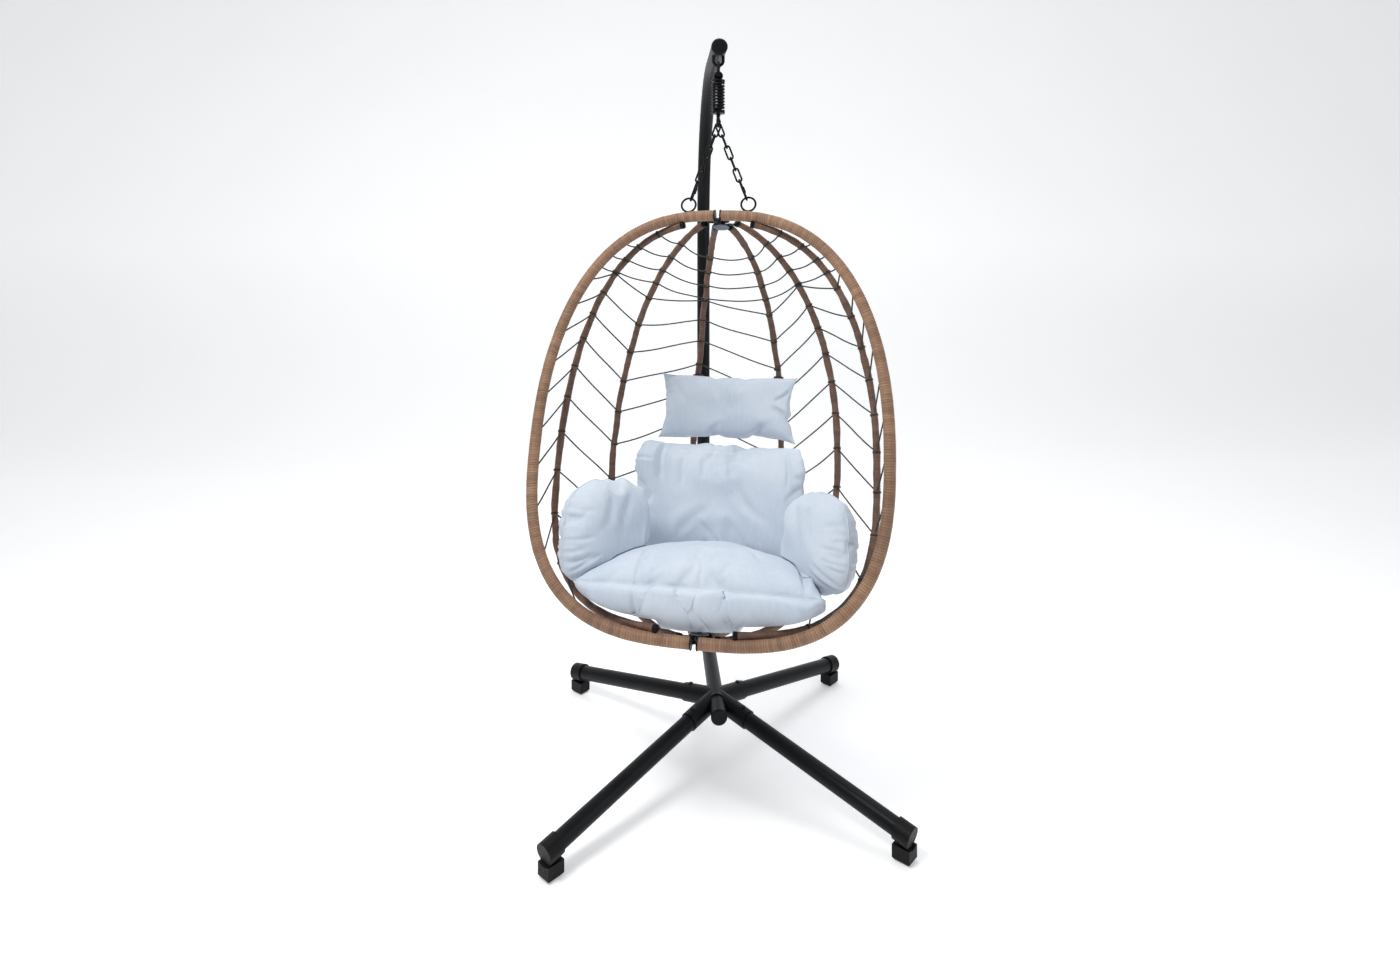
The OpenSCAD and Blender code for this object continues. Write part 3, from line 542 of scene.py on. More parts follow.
def wrapped_tube(name, line, normal, wrap, seed):
    """A tube wound with flat strip: the mesh itself runs in a spiral, with a groove at each turn."""
    line, length, along = measured(line)
    turns = int(round(length / wrap.strip))
    pitch = length / turns
    steps = len(STRIP_STEPS)
    rows = np.arange(-steps, (turns + 1) * steps + 1)
    turn, step = rows // steps, rows % steps
    share = turn + np.array(STRIP_STEPS)[step]
    sides = wrap.sides
    angle_share = np.arange(sides) / sides
    raw = pitch * (share[:, None] + angle_share[None, :])
    s = np.clip(raw, 0, length)
    inside = (raw > 0) & (raw < length)
    centre = sample(line, along, s)
    ahead = sample(line, along, np.minimum(s + TANGENT_STEP, length))
    behind = sample(line, along, np.maximum(s - TANGENT_STEP, 0))
    tangent = ahead - behind
    tangent /= np.linalg.norm(tangent, axis=-1)[..., None]
    normal = np.asarray(normal, float)
    across = np.cross(tangent, normal)
    angle = 2 * math.pi * angle_share[None, :, None]
    out = np.cos(angle) * normal + np.sin(angle) * across

    def per_turn(shift, rate, row):
        return np.array([noise.noise(Vector((seed + shift, t * rate, row))) for t in turn])[:, None]

    # Turns lie unevenly: each by itself, in long waves, and over knobs of a few turns
    lift, slow, knobs = per_turn(0.0, 0.37, 0.0), per_turn(9.1, 0.06, 3.0), per_turn(4.3, 0.15, 1.0)
    sunk = np.clip(0.3 - 0.5 * lift - 0.4 * slow - 0.9 * knobs, -0.4, 1.0)
    r = wrap.radius - wrap.unevenness * sunk
    r = r - wrap.dip * np.array(STRIP_DIP)[step][:, None]
    r = np.where(inside, r, wrap.radius - wrap.unevenness - wrap.dip)
    points = (centre + r[..., None] * out).reshape(-1, 3)
    # The strip's third coordinate is each row's dip, which the wrap's material uses to paint shade into the
    # grooves
    strip = np.stack([
        (turn[:, None] + angle_share[None, :]) * 2 * math.pi * wrap.radius,
        raw,
        np.broadcast_to(np.array(STRIP_DIP)[step][:, None], raw.shape),
    ], -1).reshape(-1, 3)
    faces = []
    for i in range(len(rows) - 1 - steps):
        for k in range(sides):
            a, d = i * sides + k, (i + 1) * sides + k
            if k + 1 < sides:
                b, c = a + 1, d + 1
            else:
                b, c = (i + steps) * sides, (i + 1 + steps) * sides
            faces.append((a, b, c, d))
    made = mesh_object(name, points, faces, wrap.material)
    set_attribute(made.data, "strip", strip)
    close_ends(made.data)
    return made


def close_ends(mesh):
    """Merges the rows that meet at a tube's two ends and caps them."""
    bm = bmesh.new()
    bm.from_mesh(mesh)
    bmesh.ops.remove_doubles(bm, verts=bm.verts, dist=2e-6)
    bmesh.ops.dissolve_degenerate(bm, edges=bm.edges, dist=1e-7)
    loose = [v for v in bm.verts if not v.link_faces]
    bmesh.ops.delete(bm, geom=loose, context="VERTS")
    bmesh.ops.holes_fill(bm, edges=[e for e in bm.edges if e.is_boundary], sides=0)
    bmesh.ops.recalc_face_normals(bm, faces=bm.faces)
    for face in bm.faces:
        face.smooth = True
    bm.to_mesh(mesh)
    bm.free()


WANDER = 0.0045             # a rib's thin tube runs this far out of true between its strings
WANDER_RATE = 26            # noise steps along a rib
END_SLEEVE = 0.009          # length of the sleeve at a rib's end
SLEEVE_LIP = 0.0008         # how far it reaches past the rib
SLEEVE_STEPS = (-SLEEVE_LIP, 0.0, 0.0006, END_SLEEVE - 0.001, END_SLEEVE)
SLEEVE_RADII = (RIB_R - 0.001, RIB_R + 0.0003, RIB_R + 0.0005, RIB_R + 0.0005, RIB_R - 0.0006)


def make_rim(side, name, body):
    reach, level = egg_line(RIM, RIM_GAP / 2)
    line = placed(np.stack([side * reach, 0 * reach, level], -1))
    obj = wrapped_tube(name + "_wrapped", line, direction((0, 1, 0)), RIM_WRAP, 1.7 + side)
    dressed(obj, body, "rim_wrap", name)


def make_rib(i):
    rib = RIBS[i]
    reach, level = egg_line(rib.egg, rib.start)
    local = rib_points(i, reach, level)
    a = math.radians(rib.angle)
    normal = np.array([math.cos(a), rib_side(i) * -math.sin(a), 0])
    along = np.linspace(0, 1, len(local))
    wander = np.array([noise.noise(Vector((2.3 * i, WANDER_RATE * t, 0))) for t in along])
    wander *= np.sin(math.pi * along)
    local = local + WANDER * wander[:, None] * normal
    obj = wrapped_tube(f"rib_{i + 1}_wrapped", placed(local), direction(normal), RIB_WRAP, 20.0 + i)
    dressed(obj, RIB_BODIES[i], "rib_wrap", f"rib_{i + 1}")
    make_rib_ends(i, placed(local), direction(normal))


def make_rib_ends(i, line, normal):
    """Black sleeves where a rib's tube leaves its wrap for the hinge tabs."""
    line, length, along = measured(line)
    parts = []
    for start, step in ((0.0, 1), (length, -1)):
        s = np.array(SLEEVE_STEPS) * step + start
        run = sample(line, along, np.clip(s, 0, length))
        first = sample(line, along, np.array([np.clip(start + step * 0.004, 0, length)]))[0]
        run[0] = run[1] + (run[1] - first) / np.linalg.norm(run[1] - first) * SLEEVE_LIP
        parts.append(tube(run, normal, SLEEVE_RADII, 20))
    obj = tubes_object(f"rib_{i + 1}_end_sleeves", parts, MATERIALS["hardware_black"])
    dressed(obj, RIB_BODIES[i], "hardware_black")


# ---- strings and their knots

STRING_R = 0.002
LEVEL_ROWS = [-0.074, -0.104, -0.136, -0.168]
CHEVRON_ROWS = 10
BAY_BODIES = {0: "left_half", 6: "right_half"}
BAY_BLENDS = {1: ("left_half", "rib_2_fan"), 2: ("rib_2_fan", "rib_3_fan"),
              4: ("rib_4_fan", "rib_5_fan"), 5: ("rib_5_fan", "right_half")}
MIDDLE_SHARE = 0.18         # how far ribs 3 and 4 turn, as a share of the fold
# The level of the first chevron row, the step to the next, and how the step grows
HIGH_CHEVRONS = (-0.172, 0.046, 0.0041)
LOW_CHEVRONS = (-0.208, 0.070, 0.0022)
LEVEL_DROOP = (0.07, 0.012)     # of the top level row as a share of its span, and the change a row
CHEVRON_DROOP = (0.02, 0.008)   # of the first two chevron rows, and of the others
STRING_SKEW = 0.016             # how uneven a string's sag is, as a share of its span
END_DEPTH = 0.003               # how far a string's end lies under the wrap


def chevron_level(u, k):
    """High on ribs 1, 3, 5 and the right rim, low on the others, and further apart down the basket."""
    first, step, growth = HIGH_CHEVRONS if u % 2 else LOW_CHEVRONS
    return first - step * k - growth * k * k


def bay_rows(u):
    """The two levels of each string in bay u, and how much it droops as a share of its span."""
    first = 1 if u in (0, 6) else 0
    rows = [(v, v, LEVEL_DROOP[0] - LEVEL_DROOP[1] * k) for k, v in enumerate(LEVEL_ROWS[first:])]
    return rows + [(chevron_level(u, k), chevron_level(u + 1, k), CHEVRON_DROOP[k >= 2])
                   for k in range(CHEVRON_ROWS)]


def string_run(u, la, lb, droop, seed):
    """A string's centreline, from just inside one upright's wrap to the other's, with its own sag."""
    a, b = upright_point(u, la), upright_point(u + 1, lb)
    span = np.linalg.norm(b - a)
    d = (b - a) / span
    a = a + d * (upright_radius(u) - END_DEPTH)
    b = b - d * (upright_radius(u + 1) - END_DEPTH)
    t = np.linspace(0, 1, 15)
    line = placed(a + (b - a) * t[:, None])
    sag = 4 * t * (1 - t) * droop * span
    skew = np.sin(2 * math.pi * t) * noise.noise(Vector((seed, 0.3, 0.7))) * STRING_SKEW * span
    line[:, 2] -= sag + skew
    return line


def make_strings(u):
    blend = BAY_BLENDS.get(u)
    whole = []
    for k, (la, lb, droop) in enumerate(bay_rows(u)):
        run = string_run(u, la, lb, droop, 7.3 * u + 1.9 * k)
        part = tube(run, np.array([0.0, 0.3, 1.0]), STRING_R, 8)
        if u in BAY_BODIES:
            whole.append(part)
            continue
        obj = tubes_object(f"strings_{u}_row_{k + 1:02d}", [part], MATERIALS["string_cord"])
        if blend:
            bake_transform(obj)
        else:
            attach(obj, "basket")
            keep = middle_keep(la, lb)
            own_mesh(obj)
        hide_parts(f"strings_{u}")
    if whole:
        obj = tubes_object(f"strings_{u}_cords", whole, MATERIALS["string_cord"])
        dressed(obj, BAY_BODIES[u], "string_cord", f"strings_{u}")


def middle_keep(la, lb):
    """How far the middle bay closes at the end of the fold, at a string's own reach."""
    reach = (egg_reach(REAR.egg, la) + egg_reach(REAR.egg, lb)) / 2
    limit = max(abs(v) for v in fold["range_deg"])

    def half(angle):
        a = math.radians(angle)
        return REAR.offset * math.cos(a) + reach * math.sin(a)

    return half(REAR.angle - MIDDLE_SHARE * limit) / half(REAR.angle)


KNOT_TURNS = 1.6
KNOT_PITCH = 0.0024
KNOT_STEPS = 12             # points a turn
KNOT_R = 0.0013
KNOT_SINK = 0.0001          # its ends lie this far under the rib's crown
KNOT_RISE = 0.0004          # and its middle this far above them


def knot(u, level):
    """A turn and a half of cord round a rib where a string crosses it, pulled into the wrap."""
    here, near = upright_point(u, level), upright_point(u, level - 0.004)
    axis = near - here
    axis /= np.linalg.norm(axis)
    side = np.cross(axis, [0.3, 1, 0.2])
    side /= np.linalg.norm(side)
    other = np.cross(axis, side)
    t = np.linspace(0, 1, int(KNOT_TURNS * KNOT_STEPS) + 1)
    angle = 2 * math.pi * KNOT_TURNS * t
    r = RIB_R - KNOT_SINK + KNOT_RISE * np.sin(math.pi * t)
    line = here + axis * ((t - 0.5) * KNOT_TURNS * KNOT_PITCH)[:, None]
    out = np.cos(angle)[:, None] * side + np.sin(angle)[:, None] * other
    line = line + out * r[:, None]
    return tube(placed(line), direction(out), KNOT_R, 6)


def make_knots(u):
    levels = LEVEL_ROWS + [chevron_level(u, k) for k in range(CHEVRON_ROWS)]
    obj = tubes_object(f"rib_{u}_knots", [knot(u, v) for v in levels], MATERIALS["string_cord"])
    dressed(obj, RIB_BODIES[u - 1], "string_cord")


# ---- spring and chains

SPRING_TURNS = 9
SPRING_STEPS = 32           # points a turn
SPRING_WIRE = 0.0066


def make_spring():
    """The coil between its two plugs, as a smooth helix with capped ends."""
    low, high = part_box("spring")
    wire = SPRING_WIRE
    r = (high.x - low.x) / 2 - wire / 2
    centre = (low + high) / 2
    height = high.z - low.z - wire
    t = np.linspace(0, 1, SPRING_TURNS * SPRING_STEPS + 1)
    angle = 2 * math.pi * SPRING_TURNS * t
    out = np.stack([np.cos(angle), np.sin(angle), 0 * angle], -1)
    line = np.array(centre) + out * r
    line[:, 2] = low.z + wire / 2 + height * t
    obj = tubes_object("spring_coil", [tube(line, out, wire / 2, 14)], MATERIALS["hardware_black"])
    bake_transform(obj)
    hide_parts("spring")


def make_strand(side):
    """A chain strand keeps its links' own shapes."""
    names = [f"chain_{side}", f"quick_link_{side}", f"quick_sleeve_{side}"]
    for name in names:
        mesh = frame["nodes"][name].data.copy()
        mesh.polygons.foreach_set("use_smooth", [True] * len(mesh.polygons))
        mesh.materials.clear()
        mesh.materials.append(MATERIALS["hardware_black"])
        obj = bpy.data.objects.new(name + "_hung", mesh)
        scene.collection.objects.link(obj)
        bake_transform(obj)
        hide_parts(name)


# ---- CAD nodes that stay

def finish_cad_nodes():
    for sub in frame["record"]["subparts"]:
        obj = frame["nodes"][sub["node"]]
        if obj.hide_render:
            continue
        obj.data.materials.clear()
        obj.data.materials.append(MATERIALS[sub["material_slot"]])


# ---- cushions

CELL = 0.0085               # mesh of a panel before the simulation
SIM_FRAMES = 26
CLOTH_PRESSURE = 5.0
CLOTH_STIFFNESS = 14.0
CLOTH_BENDING = 0.25
CRUMPLE = 0.8               # how much of the simulation's puckers the finished cover keeps
SEWN = 1.12                 # how much wider the flat cover is than the finished cushion
PANEL_SWELL = 0.22          # how far its panels stand out before the simulation, of the thickness


def sewn_panels(name, width, height, thick):
    """A cushion's sewn cover before it is bent to its place: two panels in the XZ plane."""
    nx, nz = (2 * round(side / CELL / 2) for side in (width, height))
    points, uv, index = [], [], {}

    def key(i, j, face):
        return i, j, 0 if i in (0, nx) or j in (0, nz) else face

    for face in (1, -1):
        for j in range(nz + 1):
            for i in range(nx + 1):
                k = key(i, j, face)
                if k not in index:
                    u, v = 2 * i / nx - 1, 2 * j / nz - 1
                    index[k] = len(points)
                    swell = ((1 - u ** 4) * (1 - v ** 4)) ** 0.5 if k[2] else 0.0
                    points.append((u * width / 2, -face * swell * thick * PANEL_SWELL, v * height / 2))
                    uv.append((u, v, k[2]))
    faces = []
    for face in (1, -1):
        for j in range(nz):
            for i in range(nx):
                corners = ((i, j), (i + 1, j), (i + 1, j + 1), (i, j + 1))
                quad = [index[key(a, b, face)] for a, b in corners]
                faces.append(quad if face > 0 else quad[::-1])
    obj = mesh_object(name, points, faces, None)
    set_attribute(obj.data, "uv", uv)
    return obj


def simulate(obj):
    """Blows the sewn cover up with cloth, so that its seams pucker by themselves."""
    cloth = obj.modifiers.new("cloth", "CLOTH")
    s = cloth.settings
    s.quality = 6
    s.mass = 0.25
    s.tension_stiffness = s.compression_stiffness = CLOTH_STIFFNESS
    s.shear_stiffness = CLOTH_STIFFNESS / 2
    s.bending_stiffness = CLOTH_BENDING
    s.tension_damping = s.compression_damping = 8
    s.air_damping = 3
    s.use_pressure = True
    s.uniform_pressure_force = CLOTH_PRESSURE
    s.effector_weights.gravity = 0
    cloth.collision_settings.use_collision = False
    cloth.collision_settings.use_self_collision = False
    cloth.point_cache.frame_start, cloth.point_cache.frame_end = 1, SIM_FRAMES
    for f in range(1, SIM_FRAMES + 1):
        scene.frame_set(f)
    bpy.context.view_layer.objects.active = obj
    bpy.ops.object.modifier_apply(modifier=cloth.name)
    scene.frame_set(1)


def rows_of(collection, key):
    values = np.zeros(len(collection) * 3, np.float32)
    collection.foreach_get(key, values)
    return values.reshape(-1, 3).astype(float)


def points_of(mesh):
    return rows_of(mesh.vertices, "co")


def panel_uv(mesh):
    return rows_of(mesh.attributes["uv"].data, "vector")


def set_points(mesh, points):
    mesh.vertices.foreach_set("co", np.asarray(points, np.float32).ravel())
    mesh.update()


def subdivide(obj):
    modifier = obj.modifiers.new("subdivision", "SUBSURF")
    modifier.levels = modifier.render_levels = 1
    bpy.context.view_layer.objects.active = obj
    bpy.ops.object.modifier_apply(modifier=modifier.name)


def even_steps(half, thick):
    """A function from equal steps of cloth to places across a crowned section, both from -1 to 1."""
    x = np.linspace(0, 1, 2000)
    steps = np.hypot(np.diff(half * x), np.diff(thick / 2 * np.clip(1 - x ** 3, 0, 1) ** 0.55))
    arc = np.concatenate([[0], np.cumsum(steps)])
    return lambda u: np.sign(u) * np.interp(np.abs(u) * arc[-1], arc, x)


def stuffed_form(uv, size, draw, corners):
    """The smooth stuffed cushion: crowned both ways, its sides drawn in between the corners.

    corners says how round each corner is, from 0 to 1: foot left, foot right, top left, top right.
    """
    width, thick, height = size
    u, v = even_steps(width / 2, thick)(uv[:, 0]), even_steps(height / 2, thick)(uv[:, 1])
    crown = (np.clip(1 - np.abs(u) ** 3, 0, 1) * np.clip(1 - np.abs(v) ** 3, 0, 1)) ** 0.55
    left, right, foot, top = (1 - u) / 2, (1 + u) / 2, (1 - v) / 2, (1 + v) / 2
    round_by = (corners[0] * left * foot + corners[1] * right * foot
                + corners[2] * left * top + corners[3] * right * top)
    return np.stack([
        width / 2 * u * (1 - draw * (1 - v * v) * u * u) * np.sqrt(1 - round_by * v * v / 2),
        -uv[:, 2] * thick / 2 * crown,
        height / 2 * v * (1 - draw * (1 - u * u) * v * v) * np.sqrt(1 - round_by * u * u / 2),
    ], -1)


def crumple(points, uv):
    """What the simulation adds to a smooth cover: the cloth's own puckers and folds."""
    u, v, face = uv.T
    swell = -face * np.sqrt(np.clip((1 - u * u) * (1 - v * v), 0, 1))
    terms = [u ** (2 * a) * v ** (2 * b) for a in range(4) for b in range(4)]
    rest = np.zeros_like(points)
    for axis, lead in enumerate((u, swell, v)):
        table = np.stack([lead * term for term in terms], -1)
        share = np.linalg.lstsq(table, points[:, axis], rcond=None)[0]
        rest[:, axis] = points[:, axis] - table @ share
    return rest


PUCKER_RATE = 62            # noise steps per metre along a seam
PUCKER_DEPTH = 0.0028
PUCKER_REACH = 0.035        # how far puckers run in from a seam
SEAM_BAND = 0.004           # and how soon they rise beside it


def waves(x, seed):
    return np.array([noise.noise(Vector((v * PUCKER_RATE, seed, 0.5))) for v in x])


def seam_gathers(uv, points, seed, width, height):
    """Small puckers that run in from each seam, as a height along the normal."""
    u, v = uv[:, 0], uv[:, 1]
    to_side, to_end = (1 - np.abs(u)) * width / 2, (1 - np.abs(v)) * height / 2
    from_side = waves(points[:, 2] + 3.0 * np.sign(u), seed) * np.exp(-to_side / PUCKER_REACH)
    from_end = waves(points[:, 0] + 3.0 * np.sign(v), seed + 5) * np.exp(-to_end / PUCKER_REACH)
    rise = 1 - np.exp(-np.minimum(to_side, to_end) / SEAM_BAND)
    return PUCKER_DEPTH * (from_side + from_end) * rise


def soft_dents(points, seed, rate, depth):
    heights = [noise.noise(Vector((x * rate, y * rate * 0.4 + seed, z * rate))) for x, y, z in points]
    return depth * np.array(heights)


def crease(points, start, end, width, depth, bow=0.0):
    """A fold line between two points (x, z): a groove with a soft ridge beside it. bow curves it."""
    a, b = np.array(start), np.array(end)
    d = b - a
    length = np.linalg.norm(d)
    d = d / length
    q = points[:, [0, 2]] - a
    t = q @ d
    share = np.clip(t / length, 0, 1)
    off = q[:, 0] * d[1] - q[:, 1] * d[0] - 4 * bow * share * (1 - share)
    fade = np.clip(t / (0.3 * length), 0, 1) * np.clip((length - t) / (0.35 * length), 0, 1)
    fade = fade * fade * (3 - 2 * fade)
    groove = -np.exp(-(off / width) ** 2)
    ridge = 0.55 * np.exp(-((off - 1.9 * width) / (1.2 * width)) ** 2)
    return depth * fade * (groove + ridge)


def creases(points, rows):
    """Several creases, each a row of what crease takes after points."""
    return sum(crease(points, *row) for row in rows)


def gathers(points, uv, count, edge, inner, seed, depth=0.006):
    """Uneven pleats that run in from an edge. edge and inner are each a pair of points (x, z)."""
    rand = random.Random(seed)
    rise = np.zeros(len(points))
    for k in range(count):
        t = (k + rand.uniform(0.1, 0.9)) / count
        reach = rand.uniform(0.35, 1.15)
        a = [edge[0][j] + (edge[1][j] - edge[0][j]) * t for j in (0, 1)]
        b = [inner[0][j] + (inner[1][j] - inner[0][j]) * t for j in (0, 1)]
        b = [a[j] + (b[j] - a[j]) * reach for j in (0, 1)]
        b[1] += rand.uniform(-0.012, 0.012)
        width, share, bow = rand.uniform(0.003, 0.0075), rand.uniform(0.4, 1.2), rand.uniform(-0.004, 0.004)
        rise += crease(points, a, b, width, depth * share, bow)
    return rise * (1 - 0.8 * np.max(np.abs(uv[:, :2]), axis=1) ** 10)


def lump(points, x, z, spread_x, spread_z, height):
    return height * np.exp(-((points[:, 0] - x) / spread_x) ** 2 - ((points[:, 2] - z) / spread_z) ** 2)


SEAM_R = 0.0016
ON_SEAM = 0.9995            # a panel coordinate beyond this lies on the seam


def seam_line(obj, name):
    """The stitched edge that stands up along the cover's seam."""
    uv, co = panel_uv(obj.data), points_of(obj.data)
    edge = [i for i in range(len(uv)) if max(abs(uv[i, 0]), abs(uv[i, 1])) > ON_SEAM]

    def turn(i):
        u, v = uv[i, 0], uv[i, 1]
        if v <= -ON_SEAM:
            return u
        if u >= ON_SEAM:
            return 2 + v
        if v >= ON_SEAM:
            return 4 - u
        return 6 - v

    line = co[sorted(edge, key=turn)]
    line = line[np.concatenate([[True], np.linalg.norm(np.diff(line, axis=0), axis=1) > 1e-4])]
    line = np.concatenate([line, line[:1]])
    part = tube(line, np.array([0.12, 1.0, 0.07]), SEAM_R, 6, closed_ends=False)
    return tubes_object(name, [part], MATERIALS["cushion_cloth"])


def to_basket(points, place, turns):
    """Moves a cushion from its own frame into the basket's, turned by (axis, degrees) pairs in order."""
    m = Matrix.Identity(3)
    for axis, degrees in turns:
        m = Matrix.Rotation(math.radians(degrees), 3, axis) @ m
    return points @ np.array(m).T + np.array(place)


ROOM_LEVELS = np.linspace(-1.05, -0.30, 60)
ROOM_ANGLES = np.linspace(-math.pi, math.pi, 181)
RIB_ROOM = RIB_R + 0.0050   # what a cushion keeps from a rib's centreline
SOFT = 0.006                # a cover nearing its limit flattens over this distance
HINGE_REACH = 0.090         # within this reach of the fold axis the foot hinge is the floor
HINGE_BLEND = 0.016
HINGE_LEVEL = RIM_FOOT + RIM_R + 0.003
BOWL_EDGE = 0.03            # the bowl is taken no nearer to the outer ribs' widest reach
BEHIND = -0.03              # strings and ribs hold a cover behind this distance from the fold axis


def reach_of_strings(level, angle):
    """From the fold axis out to the strings, at a level and an angle from straight back."""
    corners = [upright_point(u, level)[:2] - np.array([0, AXIS_BACK]) for u in range(8)]
    bearings = [math.atan2(x, y) for x, y in corners]
    bay = min(max(int(np.searchsorted(bearings, angle)) - 1, 0), 6)
    a, b = corners[bay], corners[bay + 1]
    angle = min(max(angle, bearings[0]), bearings[7])
    d = (math.sin(angle), math.cos(angle))
    return (a[0] * b[1] - a[1] * b[0]) / (d[0] * (b[1] - a[1]) - d[1] * (b[0] - a[0]))


ROOM = np.array([[reach_of_strings(v, a) for a in ROOM_ANGLES] for v in ROOM_LEVELS])


def bowl_level(reach):
    """The level of the outer ribs at a reach from the fold axis, which they sweep as the basket folds."""
    egg = OUTER.egg
    return egg.mid - (egg.mid - egg.foot) * (1 - (reach / egg.reach) ** egg.lower[0]) ** (1 / egg.lower[1])


def short_of(room):
    """Room left, flattened softly so that it never falls to nothing."""
    return np.where(room < SOFT, SOFT * np.exp((np.minimum(room, SOFT) - SOFT) / SOFT), room)


def inside_basket(co):
    """Keeps a cover within the ribs and strings, above the outer ribs' sweep, and off the foot hinge."""
    x, y, z = co[:, 0], co[:, 1] - AXIS_BACK, co[:, 2]
    reach, angle = np.hypot(x, y), np.arctan2(x, y)
    near = np.clip((reach - HINGE_REACH) / HINGE_BLEND, 0, 1)
    bowl = bowl_level(np.minimum(reach, OUTER.egg.reach - BOWL_EDGE)) + RIB_ROOM
    floor = near * bowl + (1 - near) * HINGE_LEVEL
    z = floor + short_of(z - floor)
    i = np.clip((z - ROOM_LEVELS[0]) / (ROOM_LEVELS[1] - ROOM_LEVELS[0]), 0, len(ROOM_LEVELS) - 1.001)
    j = np.clip((angle + math.pi) / (ROOM_ANGLES[1] - ROOM_ANGLES[0]), 0, len(ROOM_ANGLES) - 1.001)
    m, n = i.astype(int), j.astype(int)
    i, j = i - m, j - n
    limit = (ROOM[m, n] * (1 - i) * (1 - j) + ROOM[m + 1, n] * i * (1 - j)
             + ROOM[m, n + 1] * (1 - i) * j + ROOM[m + 1, n + 1] * i * j) - RIB_ROOM
    scale = np.where(y > BEHIND, (limit - short_of(limit - reach)) / np.maximum(reach, 1e-6), 1)
    return np.stack([x * scale, y * scale + AXIS_BACK, z], -1)


PRESS_GAP = 0.0025
PRESS_REACH = 0.08


def clear_of(*neighbours):
    """A finish that presses a cover out of the cushions that are already in place."""
    trees = [BVHTree.FromPolygons([v.co.copy() for v in obj.data.vertices],
                                  [tuple(p.vertices) for p in obj.data.polygons]) for obj in neighbours]

    def finish(co):
        points = placed(co)
        for i in range(len(points)):
            for tree in trees:
                point = Vector(points[i])
                near, normal = tree.find_nearest(point, PRESS_REACH)[:2]
                if near is not None and (point - near).dot(normal) < PRESS_GAP:
                    points[i] = near + normal * PRESS_GAP
        return (points - np.array(ORIGIN)) @ TO_WORLD.T
    return finish


def make_cushion(node_name, size, draw, details, shape, place, turns, seed,
                 corners=(0, 0, 0, 0), finish=None):
    """Sews, blows up, wrinkles, bends and places one cushion, and gives it its seam.

    size is the finished (width, thickness, height), draw how far its sides are drawn in, details a
    function that gives a height along the normal, shape one that bends the finished cover, corners
    how round each corner is, and finish one that clears the neighbours.
    """
    width, thick, height = size
    obj = sewn_panels(node_name + "_cover", width * SEWN, height * SEWN, thick)
    uv = panel_uv(obj.data)
    smooth = stuffed_form(uv, size, draw, corners)
    simulate(obj)
    smooth += CRUMPLE * crumple(points_of(obj.data), uv)
    set_points(obj.data, smooth)
    subdivide(obj)
    co, uv = points_of(obj.data), panel_uv(obj.data)
    rise = seam_gathers(uv, co, seed, width, height)
    rise += soft_dents(co, seed, 9.0, 0.005) + soft_dents(co, seed + 7, 26.0, 0.0012)
    rise += details(co, uv)
    co = shape(co + rows_of(obj.data.vertices, "normal") * rise[:, None])
    co = inside_basket(to_basket(co, place, turns))
    if finish:
        co = finish(co)
    set_points(obj.data, placed(co))
    obj.data.materials.append(MATERIALS["cushion_cloth"])
    obj.data.polygons.foreach_set("use_smooth", [True] * len(obj.data.polygons))
    for piece in (seam_line(obj, node_name + "_seam"), obj):
        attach(piece, "basket")
        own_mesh(piece)
    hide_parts(node_name)
    return obj


SEAT_SIZE = (0.584, 0.168, 0.372)
SEAT_PLACE = (-0.005, 0.194, -0.948)
SEAT_NARROW = 0.68
BACK_SIZE = (0.486, 0.120, 0.314)
BACK_PLACE = (-0.014, 0.396, -0.748)
BACK_BEND = 0.108
PILLOW_SIZE = (0.405, 0.095, 0.185)
PILLOW_PLACE = (-0.012, 0.4265, -0.480)
PILLOW_BEND = 0.060
ARM_SIZE = (0.264, 0.112, 0.262)
ARM_PLACE = (0.275, 0.120, -0.838)
ARM_TURN = 57
ARM_BEND = 0.026


def bent(width, bend):
    """The two sides come forward, as the cushion follows the round of the basket."""
    def shape(co):
        u = 2 * co[:, 0] / width
        return co - np.outer(bend * u * u, [0, 1, 0])
    return shape


def seat_shape(co):
    v = np.clip(2 * co[:, 2] / SEAT_SIZE[2], -1, 1)
    waist = 1 - SEAT_NARROW * ((1 - v) / 2) ** 2.2
    return co * np.stack([waist, np.ones_like(waist), np.ones_like(waist)], -1)


# Creases: start and end (x, z), width, depth and bow
SEAT_CREASES = [
    ((-0.156, 0.05), (-0.150, 0.25), 0.005, 0.007, 0.006),
    ((0.004, 0.13), (0.010, 0.25), 0.005, 0.004),
    ((0.215, 0.0), (0.252, 0.21), 0.007, 0.011, 0.010),
]
SEAT_TOP_CREASES = [
    ((-0.09, 0.10), (0.02, -0.02), 0.012, 0.0035, 0.010),
    ((0.150, 0.14), (0.07, 0.02), 0.010, 0.0035, -0.012),
]


